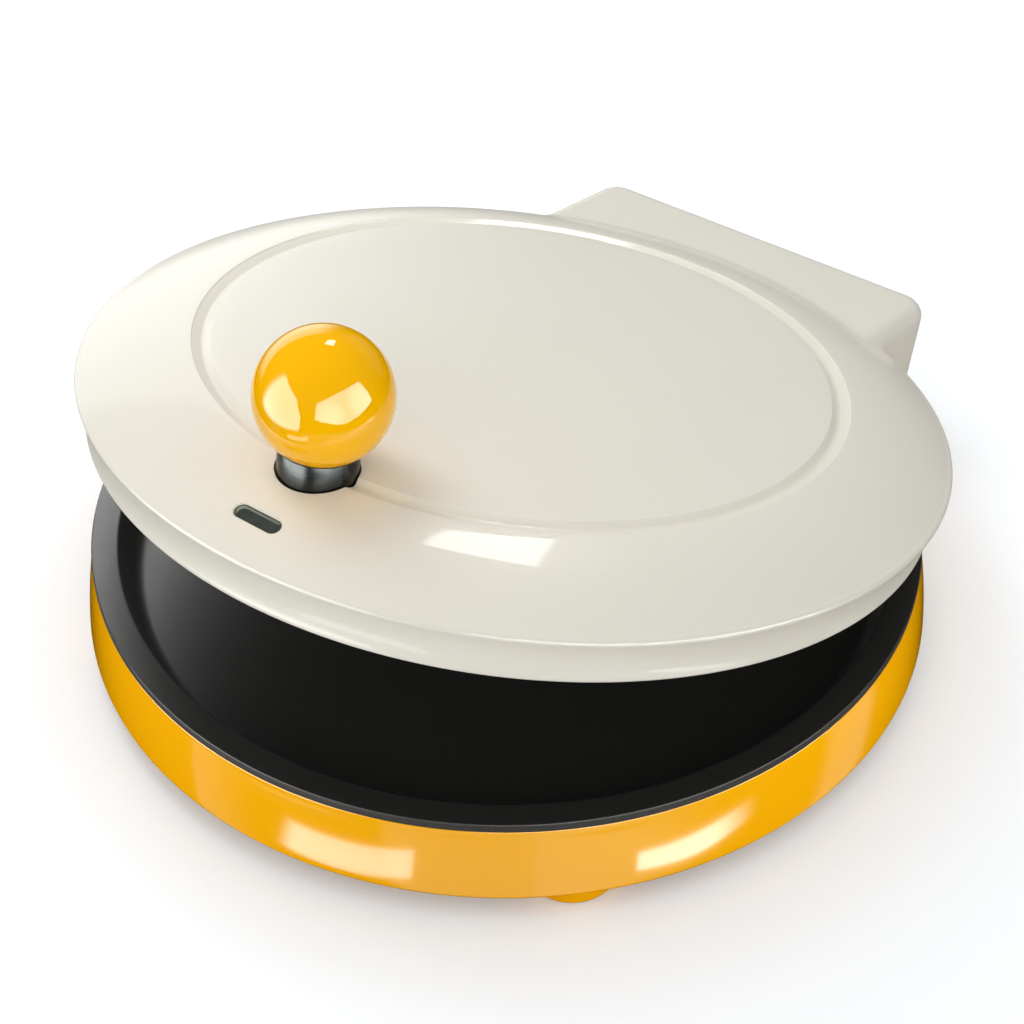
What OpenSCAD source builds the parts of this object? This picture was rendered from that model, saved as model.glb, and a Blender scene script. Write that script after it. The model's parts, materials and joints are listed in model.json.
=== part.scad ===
// Electric pizza maker: a round base with a non-stick pan and a hinged domed lid with a ball knob.
// Millimetres. Origin on the floor under the middle of the pan, +Z up, knob towards -Y, hinge towards +Y.
// The lid is drawn shut and then turned to its open angle about the hinge.

/* [Base] */
// Radius of the base shell under the pan rim
base_r = 165; // [145:1:185]
// How far the side of the base flares out at its foot
base_flare = 5; // [4:0.1:6]
// Height of the underside of the base above the floor
base_bottom_z = 9; // [8:0.5:12]
// Height of the seam between base shell and pan rim
seam_z = 40; // [40:0.5:43]
// Wall of the moulded base shell
base_wall = 2.6; // [2:0.1:3.2]
// Rounding of the lower edge of the base
base_edge_round = 2; // [1:0.1:2.5]
// How far the edge of the bottom cover lies inside the base
cover_inset = 37; // [36:0.5:41]
// Thickness of the bottom cover
cover_t = 2.2; // [1.6:0.1:3]
// Width of the ledge that holds the bottom cover
cover_ledge_w = 7; // [6:0.5:9]
// Number of screws in the bottom cover
cover_screw_count = 6; // [4:1:8]
// Distance of the cover screws from the edge of the cover
cover_screw_inset = 3; // [2.7:0.1:3.5]

/* [Feet] */
// Radius of a foot where it meets the base
foot_r = 18; // [15:0.5:18.5]
// Distance of the middle of a foot from the side of the base
foot_inset = 15.5; // [15:0.5:17]
// How much a foot narrows towards the floor
foot_taper = 0.6; // [0:0.1:2]
// Radius of the rubber pad in a foot
pad_r = 12.7; // [8:0.1:14]
// Thickness of the rubber pad
pad_t = 4.2; // [3:0.1:5]
// How far the pad stands out of the foot
pad_proud = 0.8; // [0.4:0.1:1.5]

/* [Pan] */
// Width of the flat pan rim
pan_rim_w = 10.5; // [9:0.5:12]
// How much narrower the pan is at its floor than at its mouth
pan_draft = 5; // [3:0.5:6]
// Height of the pan rim above the seam
pan_rim_h = 3.9; // [3:0.1:4]
// How much the rim dips towards the mouth
pan_rim_dip = 1.4; // [0.5:0.1:2]
// Wall of the cast pan
pan_t = 3; // [2.5:0.1:3.2]
// Radius of the corner between pan wall and floor
pan_corner_r = 5; // [2:0.5:7]
// Distance of the pan posts from the edge of the pan floor
pan_post_inset = 9.5; // [8.5:0.5:11]
// Radius of a post under the pan
pan_post_r = 5; // [4:0.5:6]

/* [Lid] */
// How far the lid edge stands out over the base
lid_overhang = 3.5; // [2.5:0.1:5]
// Height of the lid edge above the seam
lid_edge_h = 23.1; // [21:0.1:25]
// How far the lower end of the lid skirt lies inside the lid edge
skirt_inset = 4.5; // [3.5:0.1:5.5]
// How deep the skirt curves in below the lid edge
skirt_cove = 1.1; // [0:0.1:2]
// Gap between the shut lid and the pan rim
lid_gap = 0.5; // [0.4:0.1:1.5]
// Wall of the moulded lid
lid_wall = 3; // [2.4:0.1:3.2]
// Size of the rounding along the lid edge
lid_edge_round = 2.4; // [1:0.1:3]
// Outward bulge of the dome between edge and ring
dome_bulge = 1.9; // [0.5:0.1:3]
// Distance of the ring groove from the lid edge
ring_inset = 42.3; // [38:0.1:45]
// Width of the ring groove
ring_w = 7.6; // [6:0.1:10]
// Height of the ring groove above the seam
ring_h = 37.6; // [36.5:0.1:40]
// Depth of the ring groove
ring_depth = 1.6; // [0.8:0.1:1.8]
// How far the middle of the lid rises above the ring
crown_rise = 3.1; // [1:0.1:5]
// Angle that the lid stands open at rest
lid_open = 11.9; // [0:0.1:90]

/* [Hinge housing] */
// Half width of the hinge housing on the lid
hood_half_w = 84; // [80:0.1:88]
// Distance of the rear wall of the housing behind the hinge axis
hood_reach = 19.5; // [17:0.1:22]
// Height of the top of the housing above the seam
hood_top_h = 29.5; // [27:0.1:31]
// Depth of the housing below the seam
hood_drop = 5; // [2:0.5:5.5]
// Rounding of the top edges of the housing
hood_round = 7.5; // [4:0.5:9]
// Rounding of the standing corners of the housing
hood_corner_r = 11.5; // [9:0.5:14]
// Wall of the housing
hood_wall = 2.5; // [2:0.1:3]

/* [Hinge] */
// Distance of the hinge axis behind the side of the base
hinge_setback = 10.8; // [10:0.1:11.5]
// Height of the hinge axis above the seam
hinge_h = 0.5; // [0:0.1:1.5]
// Radius of the hinge pin
pin_r = 3; // [2:0.1:4]
// Radial clearance of the pin in the base lug
pin_clearance = 0.06; // [0.03:0.01:0.1]
// Radius of the base lug round the pin
lug_r = 12.5; // [9:0.5:12.5]
// Width of the base lug
lug_w = 23; // [16:1:28]
// Distance of the middle of a lug from the centre plane
lug_x = 48; // [44:1:54]
// Height of the arm that carries the lug
lug_arm_h = 10.5; // [8:0.5:11]
// Thickness of the hinge bracket sheet
bracket_t = 2; // [1.5:0.1:2.5]
// Radius of the rounded end of a bracket cheek
cheek_r = 8; // [6:0.5:11]
// Thickness of a friction washer
washer_t = 1; // [0.5:0.1:1.5]
// Radius of a friction washer
washer_r = 6.5; // [5:0.5:8]
// Side gap on each face of a friction washer
washer_gap = 0.1; // [0.05:0.05:0.3]
// Radius of the head of the hinge pin
pin_head_r = 5; // [4:0.5:7]

/* [Knob] */
// Radius of the ball
ball_r = 24.2; // [20:0.1:28]
// Height of the centre of the ball above the ring groove
ball_lift = 27.8; // [26:0.1:32]
// Radius of the collar under the ball
collar_r = 14.2; // [11:0.1:16]
// Gap round the collar in its pocket
collar_gap = 0.6; // [0.2:0.1:1.5]
// Depth of the pocket floor below the ring height
pocket_depth = 3.4; // [2:0.1:5]
// Radius of the brass insert in the ball
insert_r = 4; // [3:0.1:6]
// Length of the brass insert
insert_l = 15; // [10:0.5:20]
// Radius of the knob screw
knob_screw_r = 2.5; // [2:0.1:2.8]

/* [Indicator] */
// Distance of the indicator window from the lid edge
lens_inset = 16; // [14.5:0.5:18.5]
// Length of the window
lens_l = 19.4; // [14:0.2:24]
// Width of the window
lens_w = 6.2; // [4:0.1:8]
// How far the lens lies below the lid surface
lens_sunk = 0.8; // [0.2:0.1:1.5]
// Radius of the lamp
lamp_r = 2.4; // [2:0.1:3]

/* [Heating] */
// Distance of the loop of a heating element from the edge of the pan floor
element_inset = 44.5; // [43:0.5:54]
// Radius of the element tube
element_r = 3.2; // [2.8:0.1:3.3]
// Half angle of the gap where the element ends turn out
element_gap_deg = 8; // [6:0.5:12]
// Radius of the hole for the thermostat in the reflector
reflector_hole_r = 24; // [20:1:30]
// Sheet thickness of the reflectors
reflector_t = 0.8; // [0.5:0.1:1]
// Gap between the lower element and its reflector
element_clearance = 3.8; // [1:0.1:5]
// Distance of the flange of the upper plate from the end of the lid skirt
upper_flange_inset = 6; // [5.8:0.1:6.5]
// Width of the flange and the sloping wall of the upper plate
upper_wall_w = 14; // [13:0.5:18]
// Radius of the thermostat
thermostat_r = 8.5; // [7:0.5:10]
// Thickness of the insulation pad
insulation_t = 5; // [3:0.5:7]
// Gap between the insulation pad and the lid
insulation_gap = 0.4; // [0.2:0.1:2]

/* [Cord entry] */
// Radius of the bore for the cord
cord_bore_r = 3.6; // [3:0.1:4]
// Angle of the cord entry round the base
cord_angle = 130; // [126:1:150]
// Height of the cord entry above the base bottom
cord_h = 15; // [13:0.5:17]
// Radius of the flange of the cord gland
gland_flange_r = 9.5; // [8:0.5:10]

/* [Hidden] */
$fn = 144;
eps = 0.01;
far = 400;

// Fits
slip = 0.2;             // gap between pieces that are only placed against each other
screw_slip = 0.3;       // gap round a screw in a clearance hole
thread_slip = 0.02;     // gap between a screw and its own threaded hole
seat_r = 0.05;          // gap between a round piece and its socket

// Screws: shank radius, head radius, head height
screw_r = 1.7;
screw_head_r = 3.2;
screw_head_h = 2;
head_sink = screw_head_h + 0.4;     // depth of the hole that hides a screw head
boss_wall = 1.6;
boss_r = screw_r + boss_wall;

// Plan sizes of the base and pan
cover_r = base_r - cover_inset;
cover_screw_pcd_r = cover_r - cover_screw_inset;
foot_place_r = base_r - foot_inset;
pan_mouth_r = base_r - pan_rim_w;
pan_floor_r = pan_mouth_r - pan_draft;
pan_post_pcd_r = pan_floor_r - pan_post_inset;
element_loop_r = pan_floor_r - element_inset;
hinge_y = base_r + hinge_setback;

// Plan sizes of the lid
lid_r = base_r + lid_overhang;
skirt_r = lid_r - skirt_inset;
ring_out_r = lid_r - ring_inset;
ring_in_r = ring_out_r - ring_w;
ring_mid_r = (ring_out_r + ring_in_r) / 2;
hood_rear_y = hinge_y + hood_reach;
knob_y = ring_mid_r;
lens_y = lid_r - lens_inset;
upper_flange_r = skirt_r - upper_flange_inset;
upper_face_r = upper_flange_r - upper_wall_w;

// Heights of the base
rim_z = seam_z + pan_rim_h;
base_floor_z = base_bottom_z + base_wall;
cover_ledge_r = cover_r - cover_ledge_w;
cover_top_z = base_bottom_z + cover_t;
ledge_z = cover_top_z + slip;
ledge_top_z = ledge_z + base_wall;
reflector_z = cover_top_z + 0.6;
pan_under_z = reflector_z + reflector_t + element_clearance + 2 * element_r + slip / 2 + 0.1;
pan_floor_z = pan_under_z + pan_t;
foot_r0 = base_r + base_flare;
post_tip_z = base_floor_z + 4;
foot_boss_h = 9;
foot_screw_rest = 1.5;   // wall left over the end of a foot screw
cover_screw_rest = 3;    // gap between the end of a cover screw and the pan
clip_screw_in = 12;      // distance of a clip screw inside the loop of its element
clip_screw_l = 2;
clip_head_h = 1.6;
clip_hole_depth = 1.6;
clip_t = 0.8;
end_gap = 0.4;           // gap at the end of a screw

// Heights of the shut lid
skirt_z = rim_z + lid_gap;
lid_edge_z = seam_z + lid_edge_h;
ring_z = seam_z + ring_h;
crown_z = ring_z + crown_rise;
dome_foot_r = lid_r - lid_edge_round;
dome_foot_z = lid_edge_z + lid_edge_round * 0.42;
hinge_z = seam_z + hinge_h;
hood_top_z = seam_z + hood_top_h;
hood_low_z = seam_z - hood_drop;
ring_half_w = ring_w / 2;
ring_cut_r = (ring_half_w * ring_half_w + ring_depth * ring_depth) / (2 * ring_depth);

// Slot in a reflector for the turned out ends of its element
element_slot_w = 2 * element_loop_r * sin(element_gap_deg) + 2 * element_r + 12.4;

// Upper plate
plate_t = 3;
plate_flange_t = 2.4;
plate_flange_z = skirt_z + 2.5;
plate_draft = 4;
inner_ring_t = 2;
ledge_ring_z = plate_flange_z + plate_flange_t + slip / 2;
insulation_z = ring_z - lid_wall - insulation_gap - insulation_t;
upper_reflector_z = insulation_z - reflector_t;
plate_top_z = upper_reflector_z - 2 * element_r - 3;
face_z = plate_top_z - plate_t;
plate_screw_pcd_r = upper_flange_r - 3.6;
plate_screw_count = 6;
inner_ring_r = skirt_r - lid_wall - slip;

// Hinge bracket
bracket_z = hinge_z + lug_r + 3.4;
cheek_in_x = lug_x - lug_w / 2 - washer_t - 2 * washer_gap;
cheek_out_x = lug_x + lug_w / 2 + washer_t + 2 * washer_gap;
bracket_len = 17;
bracket_screw_dx = 7;
bracket_screw_l = 8;

// Knob
ball_z = ring_z + ball_lift;
pocket_z = ring_z - pocket_depth;
knob_floor_t = 3;
knob_washer_t = 1;
knob_washer_r = 7;

// Indicator
// Its place on the dome, 0 at the ring and 1 at the foot
lens_t = (lens_y - ring_out_r) / (dome_foot_r - ring_out_r);
lens_z = ring_z + (dome_foot_z - ring_z) * lens_t + 4 * dome_bulge * lens_t * (1 - lens_t);
lens_tilt = atan((ring_z - dome_foot_z - 4 * dome_bulge * (1 - 2 * lens_t)) / (dome_foot_r - ring_out_r));
lens_flange = 2;
lens_flange_t = 1.4;
lens_slip = 0.5;

// Cord entry
cord_z = base_bottom_z + cord_h;
cord_r = foot_r0 - base_flare * (cord_z - base_bottom_z) / (seam_z - base_bottom_z);
gland_barrel_r = cord_bore_r + 2.4;
gland_flange_t = 3;
gland_in = 8;
terminal_l = 34;
terminal_w = 11;

// Points from p to q that bow to the left of the way by h in the middle
function bow(p, q, h, n = 8) =
    let (d = q - p, len = norm(d), m = (p + q) / 2, left = [-d[1], d[0]] / len)
    [for (i = [0:n]) let (t = i / n) p + d * t + left * (4 * h * t * (1 - t))];

// Points that round the corner q between p and r
function corner(p, q, r, n = 5) =
    [for (i = [0:n]) let (t = i / n) p * (1 - t) * (1 - t) + q * 2 * t * (1 - t) + r * t * t];

module revolve() rotate_extrude() children();

module ring_of(count, r, start = 0)
    for (i = [0:count - 1]) rotate(start + 360 * i / count) translate([r, 0, 0]) children();

module both_sides() {
    children();
    mirror([1, 0, 0]) children();
}

module along_x(x0, x1, y, z, r) translate([x0, y, z]) rotate([0, 90, 0]) cylinder(r = r, h = x1 - x0);

// Turns what is drawn for the shut lid to the open angle
module opened()
    translate([0, hinge_y, hinge_z]) rotate([-lid_open, 0, 0]) translate([0, -hinge_y, -hinge_z]) children();

module screw(length, r = screw_r, head_r = screw_head_r, head_h = screw_head_h) {
    // Shank points up from z = 0, head hangs below
    cylinder(r = r, h = length, $fn = 32);
    translate([0, 0, -head_h]) cylinder(r = head_r, h = head_h, $fn = 48);
}

// ---------- Base ----------

module base_solid() {
    foot = [foot_r0, base_bottom_z + base_edge_round];
    revolve() polygon(concat(
        [[0, base_bottom_z]],
        corner([foot_r0 - base_edge_round, base_bottom_z], [foot_r0, base_bottom_z], foot),
        [[base_r, seam_z], [0, seam_z]]));
}

module base_hollow() {
    revolve() polygon([
        [0, base_floor_z], [foot_r0 - base_wall - 0.5, base_floor_z],
        [base_r - base_wall, seam_z + eps], [0, seam_z + eps]]);
}

module lug_arm() {
    along_x(lug_x - lug_w / 2, lug_x + lug_w / 2, hinge_y, hinge_z, lug_r);
    reach = hinge_y - sqrt(pow(base_r, 2) - pow(lug_x + lug_w / 2, 2)) + 4 * base_wall;
    translate([lug_x - lug_w / 2, hinge_y - reach, hinge_z - lug_r]) cube([lug_w, reach, lug_arm_h]);
}

module base_shell() color("orange") {
    difference() {
        union() {
            difference() {
                union() {
                    base_solid();
                    both_sides() lug_arm();
                }
                base_hollow();
                translate([0, 0, seam_z - eps]) cylinder(r = base_r + slip, h = far);
            }
            translate([0, 0, ledge_z]) cylinder(r = cover_r + 2 * base_wall, h = base_wall);
            ring_of(cover_screw_count, cover_screw_pcd_r, 30) translate([0, 0, ledge_z])
                cylinder(r = boss_r, h = pan_under_z - 2 - ledge_z, $fn = 48);
            ring_of(4, pan_post_pcd_r) translate([0, 0, base_bottom_z + eps])
                cylinder(r = pan_post_r, h = post_tip_z - base_bottom_z - eps, $fn = 48);
            ring_of(4, foot_place_r, 45) translate([0, 0, base_bottom_z + eps])
                cylinder(r = boss_r, h = foot_boss_h, $fn = 48);
        }
        translate([0, 0, base_bottom_z - eps])
            cylinder(r = cover_r + slip, h = ledge_z - base_bottom_z + eps);
        cylinder(r = cover_ledge_r, h = seam_z);
        ring_of(cover_screw_count, cover_screw_pcd_r, 30)
            cylinder(r = screw_r + thread_slip, h = pan_under_z - cover_screw_rest, $fn = 32);
        ring_of(4, pan_post_pcd_r) {
            cylinder(r = screw_r + screw_slip, h = seam_z, $fn = 32);
            cylinder(r = screw_head_r + screw_slip, h = base_bottom_z + head_sink, $fn = 48);
        }
        ring_of(4, foot_place_r, 45)
            cylinder(r = screw_r + thread_slip, h = base_bottom_z + foot_boss_h - foot_screw_rest, $fn = 32);
        both_sides() along_x(0, far / 4, hinge_y, hinge_z, pin_r + pin_clearance);
        rotate(cord_angle) translate([cord_r - gland_in - 2, 0, cord_z]) rotate([0, 90, 0])
            cylinder(r = gland_barrel_r + seat_r, h = gland_in * 3);
    }
}

module bottom_cover() color("dimgray") {
    vent_w = 4;
    vent_l = 26;
    difference() {
        translate([0, 0, base_bottom_z]) cylinder(r = cover_r, h = cover_t);
        ring_of(cover_screw_count, cover_screw_pcd_r, 30) {
            cylinder(r = screw_r + screw_slip, h = seam_z, $fn = 32);
        }
        for (part = [0.375, 0.656]) ring_of(12, part * cover_r, 15) vent(vent_l, vent_w);
    }
}

module vent(l, w) translate([0, 0, base_bottom_z - 1]) linear_extrude(cover_t + 2) {
    square([l - w, w], center = true);
    for (s = [-1, 1]) translate([s * (l - w) / 2, 0]) circle(d = w, $fn = 32);
}

module foot(angle) color("orange") rotate(angle) translate([foot_place_r, 0, 0]) difference() {
    translate([0, 0, pad_proud])
        cylinder(r1 = foot_r - foot_taper, r2 = foot_r, h = base_bottom_z - pad_proud);
    translate([0, 0, -eps]) cylinder(r = pad_r + slip, h = pad_t + eps);
    cylinder(r = screw_r + screw_slip, h = seam_z, $fn = 32);
    cylinder(r = screw_head_r + screw_slip, h = pad_t + head_sink, $fn = 48);
}

module foot_front_left() foot(225);
module foot_front_right() foot(315);
module foot_rear_left() foot(135);
module foot_rear_right() foot(45);

module foot_pads() color("darkslategray")
    ring_of(4, foot_place_r, 45) cylinder(r = pad_r, h = pad_t);

module foot_screws() color("silver")
    ring_of(4, foot_place_r, 45) translate([0, 0, pad_t + head_sink])
        screw(base_bottom_z + foot_boss_h - 2 - pad_t - head_sink);

module lower_pan() color("dimgray") {
    mouth_z = rim_z - pan_rim_dip;
    lip = 1.6;
    wall_top = [pan_mouth_r - 0.8, mouth_z - 2];
    foot = [pan_floor_r, pan_floor_z];
    up = (wall_top - foot) / norm(wall_top - foot);
    difference() {
        union() {
            revolve() polygon(concat(
                [[0, pan_under_z], [pan_floor_r - 1, pan_under_z]],
                [[pan_floor_r + pan_t, pan_floor_z + 1], [pan_mouth_r + pan_t - 0.6, seam_z - 3]],
                [[pan_mouth_r + pan_t + 1.6, seam_z], [base_r, seam_z]],
                corner([base_r, rim_z - 0.9], [base_r, rim_z], [base_r - 0.9, rim_z], 3),
                corner([pan_mouth_r + lip, mouth_z + 0.2], [pan_mouth_r, mouth_z], wall_top),
                corner(foot + up * pan_corner_r, foot, foot - [pan_corner_r, 0]),
                [[0, pan_floor_z]]));
            ring_of(4, pan_post_pcd_r) translate([0, 0, post_tip_z])
                cylinder(r = pan_post_r, h = pan_under_z - post_tip_z + 1, $fn = 48);
        }
        ring_of(4, pan_post_pcd_r) cylinder(r = screw_r + thread_slip, h = pan_under_z, $fn = 32);
        ring_of(4, element_loop_r - clip_screw_in, 45)
            cylinder(r = screw_r + thread_slip, h = pan_under_z + clip_hole_depth, $fn = 32);
        cylinder(r = screw_r + thread_slip, h = pan_under_z + clip_hole_depth, $fn = 32);
    }
}

module pan_screws() color("silver")
    ring_of(4, pan_post_pcd_r) translate([0, 0, base_bottom_z + head_sink])
        screw(pan_under_z - base_bottom_z - head_sink - end_gap);

module cover_screws() color("silver")
    ring_of(cover_screw_count, cover_screw_pcd_r, 30) translate([0, 0, base_bottom_z])
        screw(pan_under_z - cover_screw_rest - end_gap - base_bottom_z, head_h = clip_head_h);

// Tubular element lying under a plate: a loop with two ends that turn out to the rear
module element(z) color("gray") translate([0, 0, z]) {
    reach = 25;
    half = element_gap_deg;
    rotate(90 + half) rotate_extrude(angle = 360 - 2 * half)
        translate([element_loop_r, 0]) circle(r = element_r, $fn = 48);
    for (s = [-1, 1]) rotate(90 + s * half) translate([element_loop_r, 0, 0]) {
        sphere(r = element_r, $fn = 48);
        rotate([0, 90, 0]) cylinder(r = element_r, h = reach, $fn = 48);
        rotate([0, 90, 0]) cylinder(r = 1.4, h = reach + 4, $fn = 32);
    }
}

// Strap that holds an element against a plate; the plate is at z = 0 and the tube hangs below it
module element_clip() {
    t = clip_t;
    w = 10;
    deep = 2 * element_r + slip;
    foot_l = 10;
    inner = element_loop_r - element_r - 1;
    difference() {
        union() {
            translate([inner - foot_l, -w / 2, -t]) cube([foot_l, w, t]);
            translate([inner - t, -w / 2, -deep - t]) cube([t, w, deep + t]);
            translate([inner - t, -w / 2, -deep - t]) cube([2 * element_r + 3, w, t]);
        }
        translate([element_loop_r - clip_screw_in, 0, -5])
            cylinder(r = screw_r + screw_slip, h = 10, $fn = 32);
    }
}

module lower_element() element(pan_under_z - element_r - slip / 2);

module lower_element_clips() color("lightgray")
    for (a = [45:90:315]) rotate(a) translate([0, 0, pan_under_z]) element_clip();

module clip_screws() color("silver") {
    ring_of(4, element_loop_r - clip_screw_in, 45) translate([0, 0, pan_under_z - clip_t])
        screw(clip_screw_l, head_h = clip_head_h);
    translate([0, 0, pan_under_z - clip_t]) screw(clip_screw_l, head_h = 1.2);
}

module lower_reflector() color("lightgray") {
    floor_z = reflector_z;
    rest_z = ledge_top_z;
    flat_r = element_loop_r + element_r + 2.8;
    rim_r = cover_screw_pcd_r - boss_r - slip;
    difference() {
        revolve() polygon([
            [reflector_hole_r, floor_z], [flat_r, floor_z], [cover_ledge_r - 3, rest_z],
            [rim_r, rest_z], [rim_r, rest_z + reflector_t],
            [cover_ledge_r - 3.4, rest_z + reflector_t], [flat_r - 0.4, floor_z + reflector_t],
            [reflector_hole_r, floor_z + reflector_t]]);
        translate([-element_slot_w / 2, element_loop_r + 5, 0]) cube([element_slot_w, far, seam_z]);
    }
}

module thermostat() color("saddlebrown") translate([0, 16, 0]) {
    body_h = 5.2;
    translate([0, 0, pan_under_z - body_h]) cylinder(r = thermostat_r, h = body_h, $fn = 64);
    for (s = [-1, 1]) translate([s * 4.5, 0, pan_under_z - body_h - 2.6]) translate([-0.4, -3, 0])
        cube([0.8, 6, 2.7]);
}

module thermostat_clip() color("lightgray") {
    t = clip_t;
    difference() {
        translate([-5, -5, pan_under_z - t]) cube([10, 16 - thermostat_r + 5 - slip, t]);
        cylinder(r = screw_r + screw_slip, h = seam_z, $fn = 32);
    }
}

module thermal_fuse() color("white") {
    r = 2.6;
    translate([-14, -22, pan_under_z - r]) rotate([0, 90, 0]) cylinder(r = r, h = 28, $fn = 48);
}

module terminal_block() color("ivory") {
    size = [terminal_l, terminal_w, 6];
    place_r = cover_r + 2 * base_wall + terminal_w / 2 + 3.5;
    rotate(cord_angle - 20) translate([place_r, 0, base_floor_z]) rotate(90) difference() {
        translate([-size[0] / 2, -size[1] / 2, 0]) cube(size);
        for (i = [-1:1]) translate([i * terminal_l * 0.31, 0, 2]) cylinder(r = 2, h = size[2], $fn = 32);
    }
}

module cord_gland() color("black")
    rotate(cord_angle) translate([cord_r, 0, cord_z]) rotate([0, 90, 0]) difference() {
        union() {
            translate([0, 0, -gland_in])
                cylinder(r = gland_barrel_r, h = gland_in + gland_flange_t, $fn = 64);
            difference() {
                translate([0, 0, 0.4])
                    cylinder(r1 = gland_flange_r, r2 = gland_flange_r - 1.2, h = gland_flange_t, $fn = 64);
                rotate([0, -90, 0]) translate([-cord_r, 0, -cord_z]) base_solid();
            }
        }
        translate([0, 0, -far / 4]) cylinder(r = cord_bore_r, h = far, $fn = 64);
    }

// ---------- Lid ----------

// Half section of the lid, drawn in by t from its outer face
module lid_section(t) {
    dome_foot = [dome_foot_r - t, dome_foot_z - t * 0.8];
    edge = [lid_r + 0.9 - t, lid_edge_z - t * 0.8];
    cove_top = [lid_r - 1.1 - t, lid_edge_z - lid_edge_round - t * 0.4];
    low = [skirt_r - t, skirt_z];
    polygon(concat(
        bow([0, crown_z - t], [ring_in_r, ring_z + 0.4 - t], 0.7),
        bow([ring_out_r, ring_z - t], dome_foot, dome_bulge),
        corner(dome_foot, edge, cove_top),
        bow(cove_top, low + [0, 1.2], -skirt_cove),
        [low - [t > 0 ? 0 : 0.5, t > 0 ? 1 : 0], [0, skirt_z - (t > 0 ? 1 : 0)]]));
}

module lid_solid(t = 0) revolve() lid_section(t);

// Hinge housing as a rounded block, drawn in by t
module hood_block(t = 0) {
    w = hood_half_w - t;
    rear = hood_rear_y - t;
    top = hood_top_z - t;
    low = hood_low_z - (t > 0 ? 1 : 0);
    front = ring_out_r - 10;
    edge = max(hood_round - t, 1);
    post = max(hood_corner_r - t, 1);
    intersection() {
        translate([0, 0, low]) linear_extrude(top - low) union() {
            translate([-w, front]) square([2 * w, rear - front - post]);
            translate([-w + post, front]) square([2 * (w - post), rear - front]);
            for (s = [-1, 1]) translate([s * (w - post), rear - post]) circle(r = post, $fn = 64);
        }
        rotate([90, 0, 90]) translate([0, 0, -w - 1]) linear_extrude(2 * w + 2) union() {
            translate([front, low]) square([rear - front, top - edge - low]);
            translate([front, low]) square([rear - front - edge, top - low]);
            translate([rear - edge, top - edge]) circle(r = edge, $fn = 64);
        }
        translate([0, front - 1, 0]) rotate([90, 0, 0]) mirror([0, 0, 1])
            linear_extrude(rear - front + 2) union() {
                translate([-w, low]) square([2 * w, top - edge - low]);
                translate([-w + edge, low]) square([2 * (w - edge), top - low]);
                for (s = [-1, 1]) translate([s * (w - edge), top - edge]) circle(r = edge, $fn = 64);
            }
    }
}

module lens_place() translate([0, -lens_y, lens_z]) rotate([lens_tilt, 0, 0]) children();

module obround(l, w, h) linear_extrude(h) {
    square([l - w, w], center = true);
    for (s = [-1, 1]) translate([s * (l - w) / 2, 0]) circle(d = w, $fn = 48);
}

module lid_shell() color("ivory") opened() {
    difference() {
        union() {
            difference() {
                union() {
                    lid_solid();
                    hood_block();
                }
                lid_solid(lid_wall);
                difference() {
                    hood_block(hood_wall);
                    lid_solid();
                }
                translate([0, 0, hood_low_z - 5]) cylinder(r = skirt_r + 3.5, h = skirt_z - hood_low_z + 5);
            }
            // Bosses for the plate screws, the knob seat and the pads for the hinge brackets
            intersection() {
                lid_solid(lid_wall / 2);
                union() {
                    ring_of(plate_screw_count, plate_screw_pcd_r)
                        translate([0, 0, ledge_ring_z + inner_ring_t])
                            cylinder(r = boss_r, h = far / 4, $fn = 48);
                    translate([0, -knob_y, pocket_z - knob_floor_t]) cylinder(r = collar_r + 3, h = far / 4);
                }
            }
            both_sides() translate([cheek_in_x, hinge_y - bracket_len / 2, bracket_z + bracket_t])
                cube([cheek_out_x - cheek_in_x, bracket_len,
                      hood_top_z - hood_wall / 2 - bracket_z - bracket_t]);
        }
        revolve() translate([ring_mid_r, ring_z + ring_cut_r - ring_depth]) circle(r = ring_cut_r, $fn = 64);
        translate([0, -knob_y, pocket_z]) cylinder(r = collar_r + collar_gap, h = far / 4);
        translate([0, -knob_y, 0]) cylinder(r = knob_screw_r + screw_slip, h = far / 4, $fn = 32);
        ring_of(plate_screw_count, plate_screw_pcd_r)
            cylinder(r = screw_r + thread_slip, h = ledge_ring_z + inner_ring_t + 10, $fn = 32);
        lens_place() translate([0, 0, -8]) obround(lens_l, lens_w, 16);
        both_sides() for (s = [-1, 1]) translate([lug_x + s * bracket_screw_dx, hinge_y, bracket_z])
            cylinder(r = screw_r + thread_slip, h = bracket_screw_l + 0.3, $fn = 32);
    }
}

module lid_inner_ring() color("black") opened() difference() {
    revolve() polygon([
        [plate_screw_pcd_r - boss_r, ledge_ring_z], [upper_flange_r + slip, ledge_ring_z],
        [upper_flange_r + slip, skirt_z + 0.8], [inner_ring_r, skirt_z + 0.8],
        [inner_ring_r, ledge_ring_z + inner_ring_t],
        [plate_screw_pcd_r - boss_r, ledge_ring_z + inner_ring_t]]);
    ring_of(plate_screw_count, plate_screw_pcd_r) cylinder(r = screw_r + screw_slip, h = far / 2, $fn = 32);
}

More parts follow.
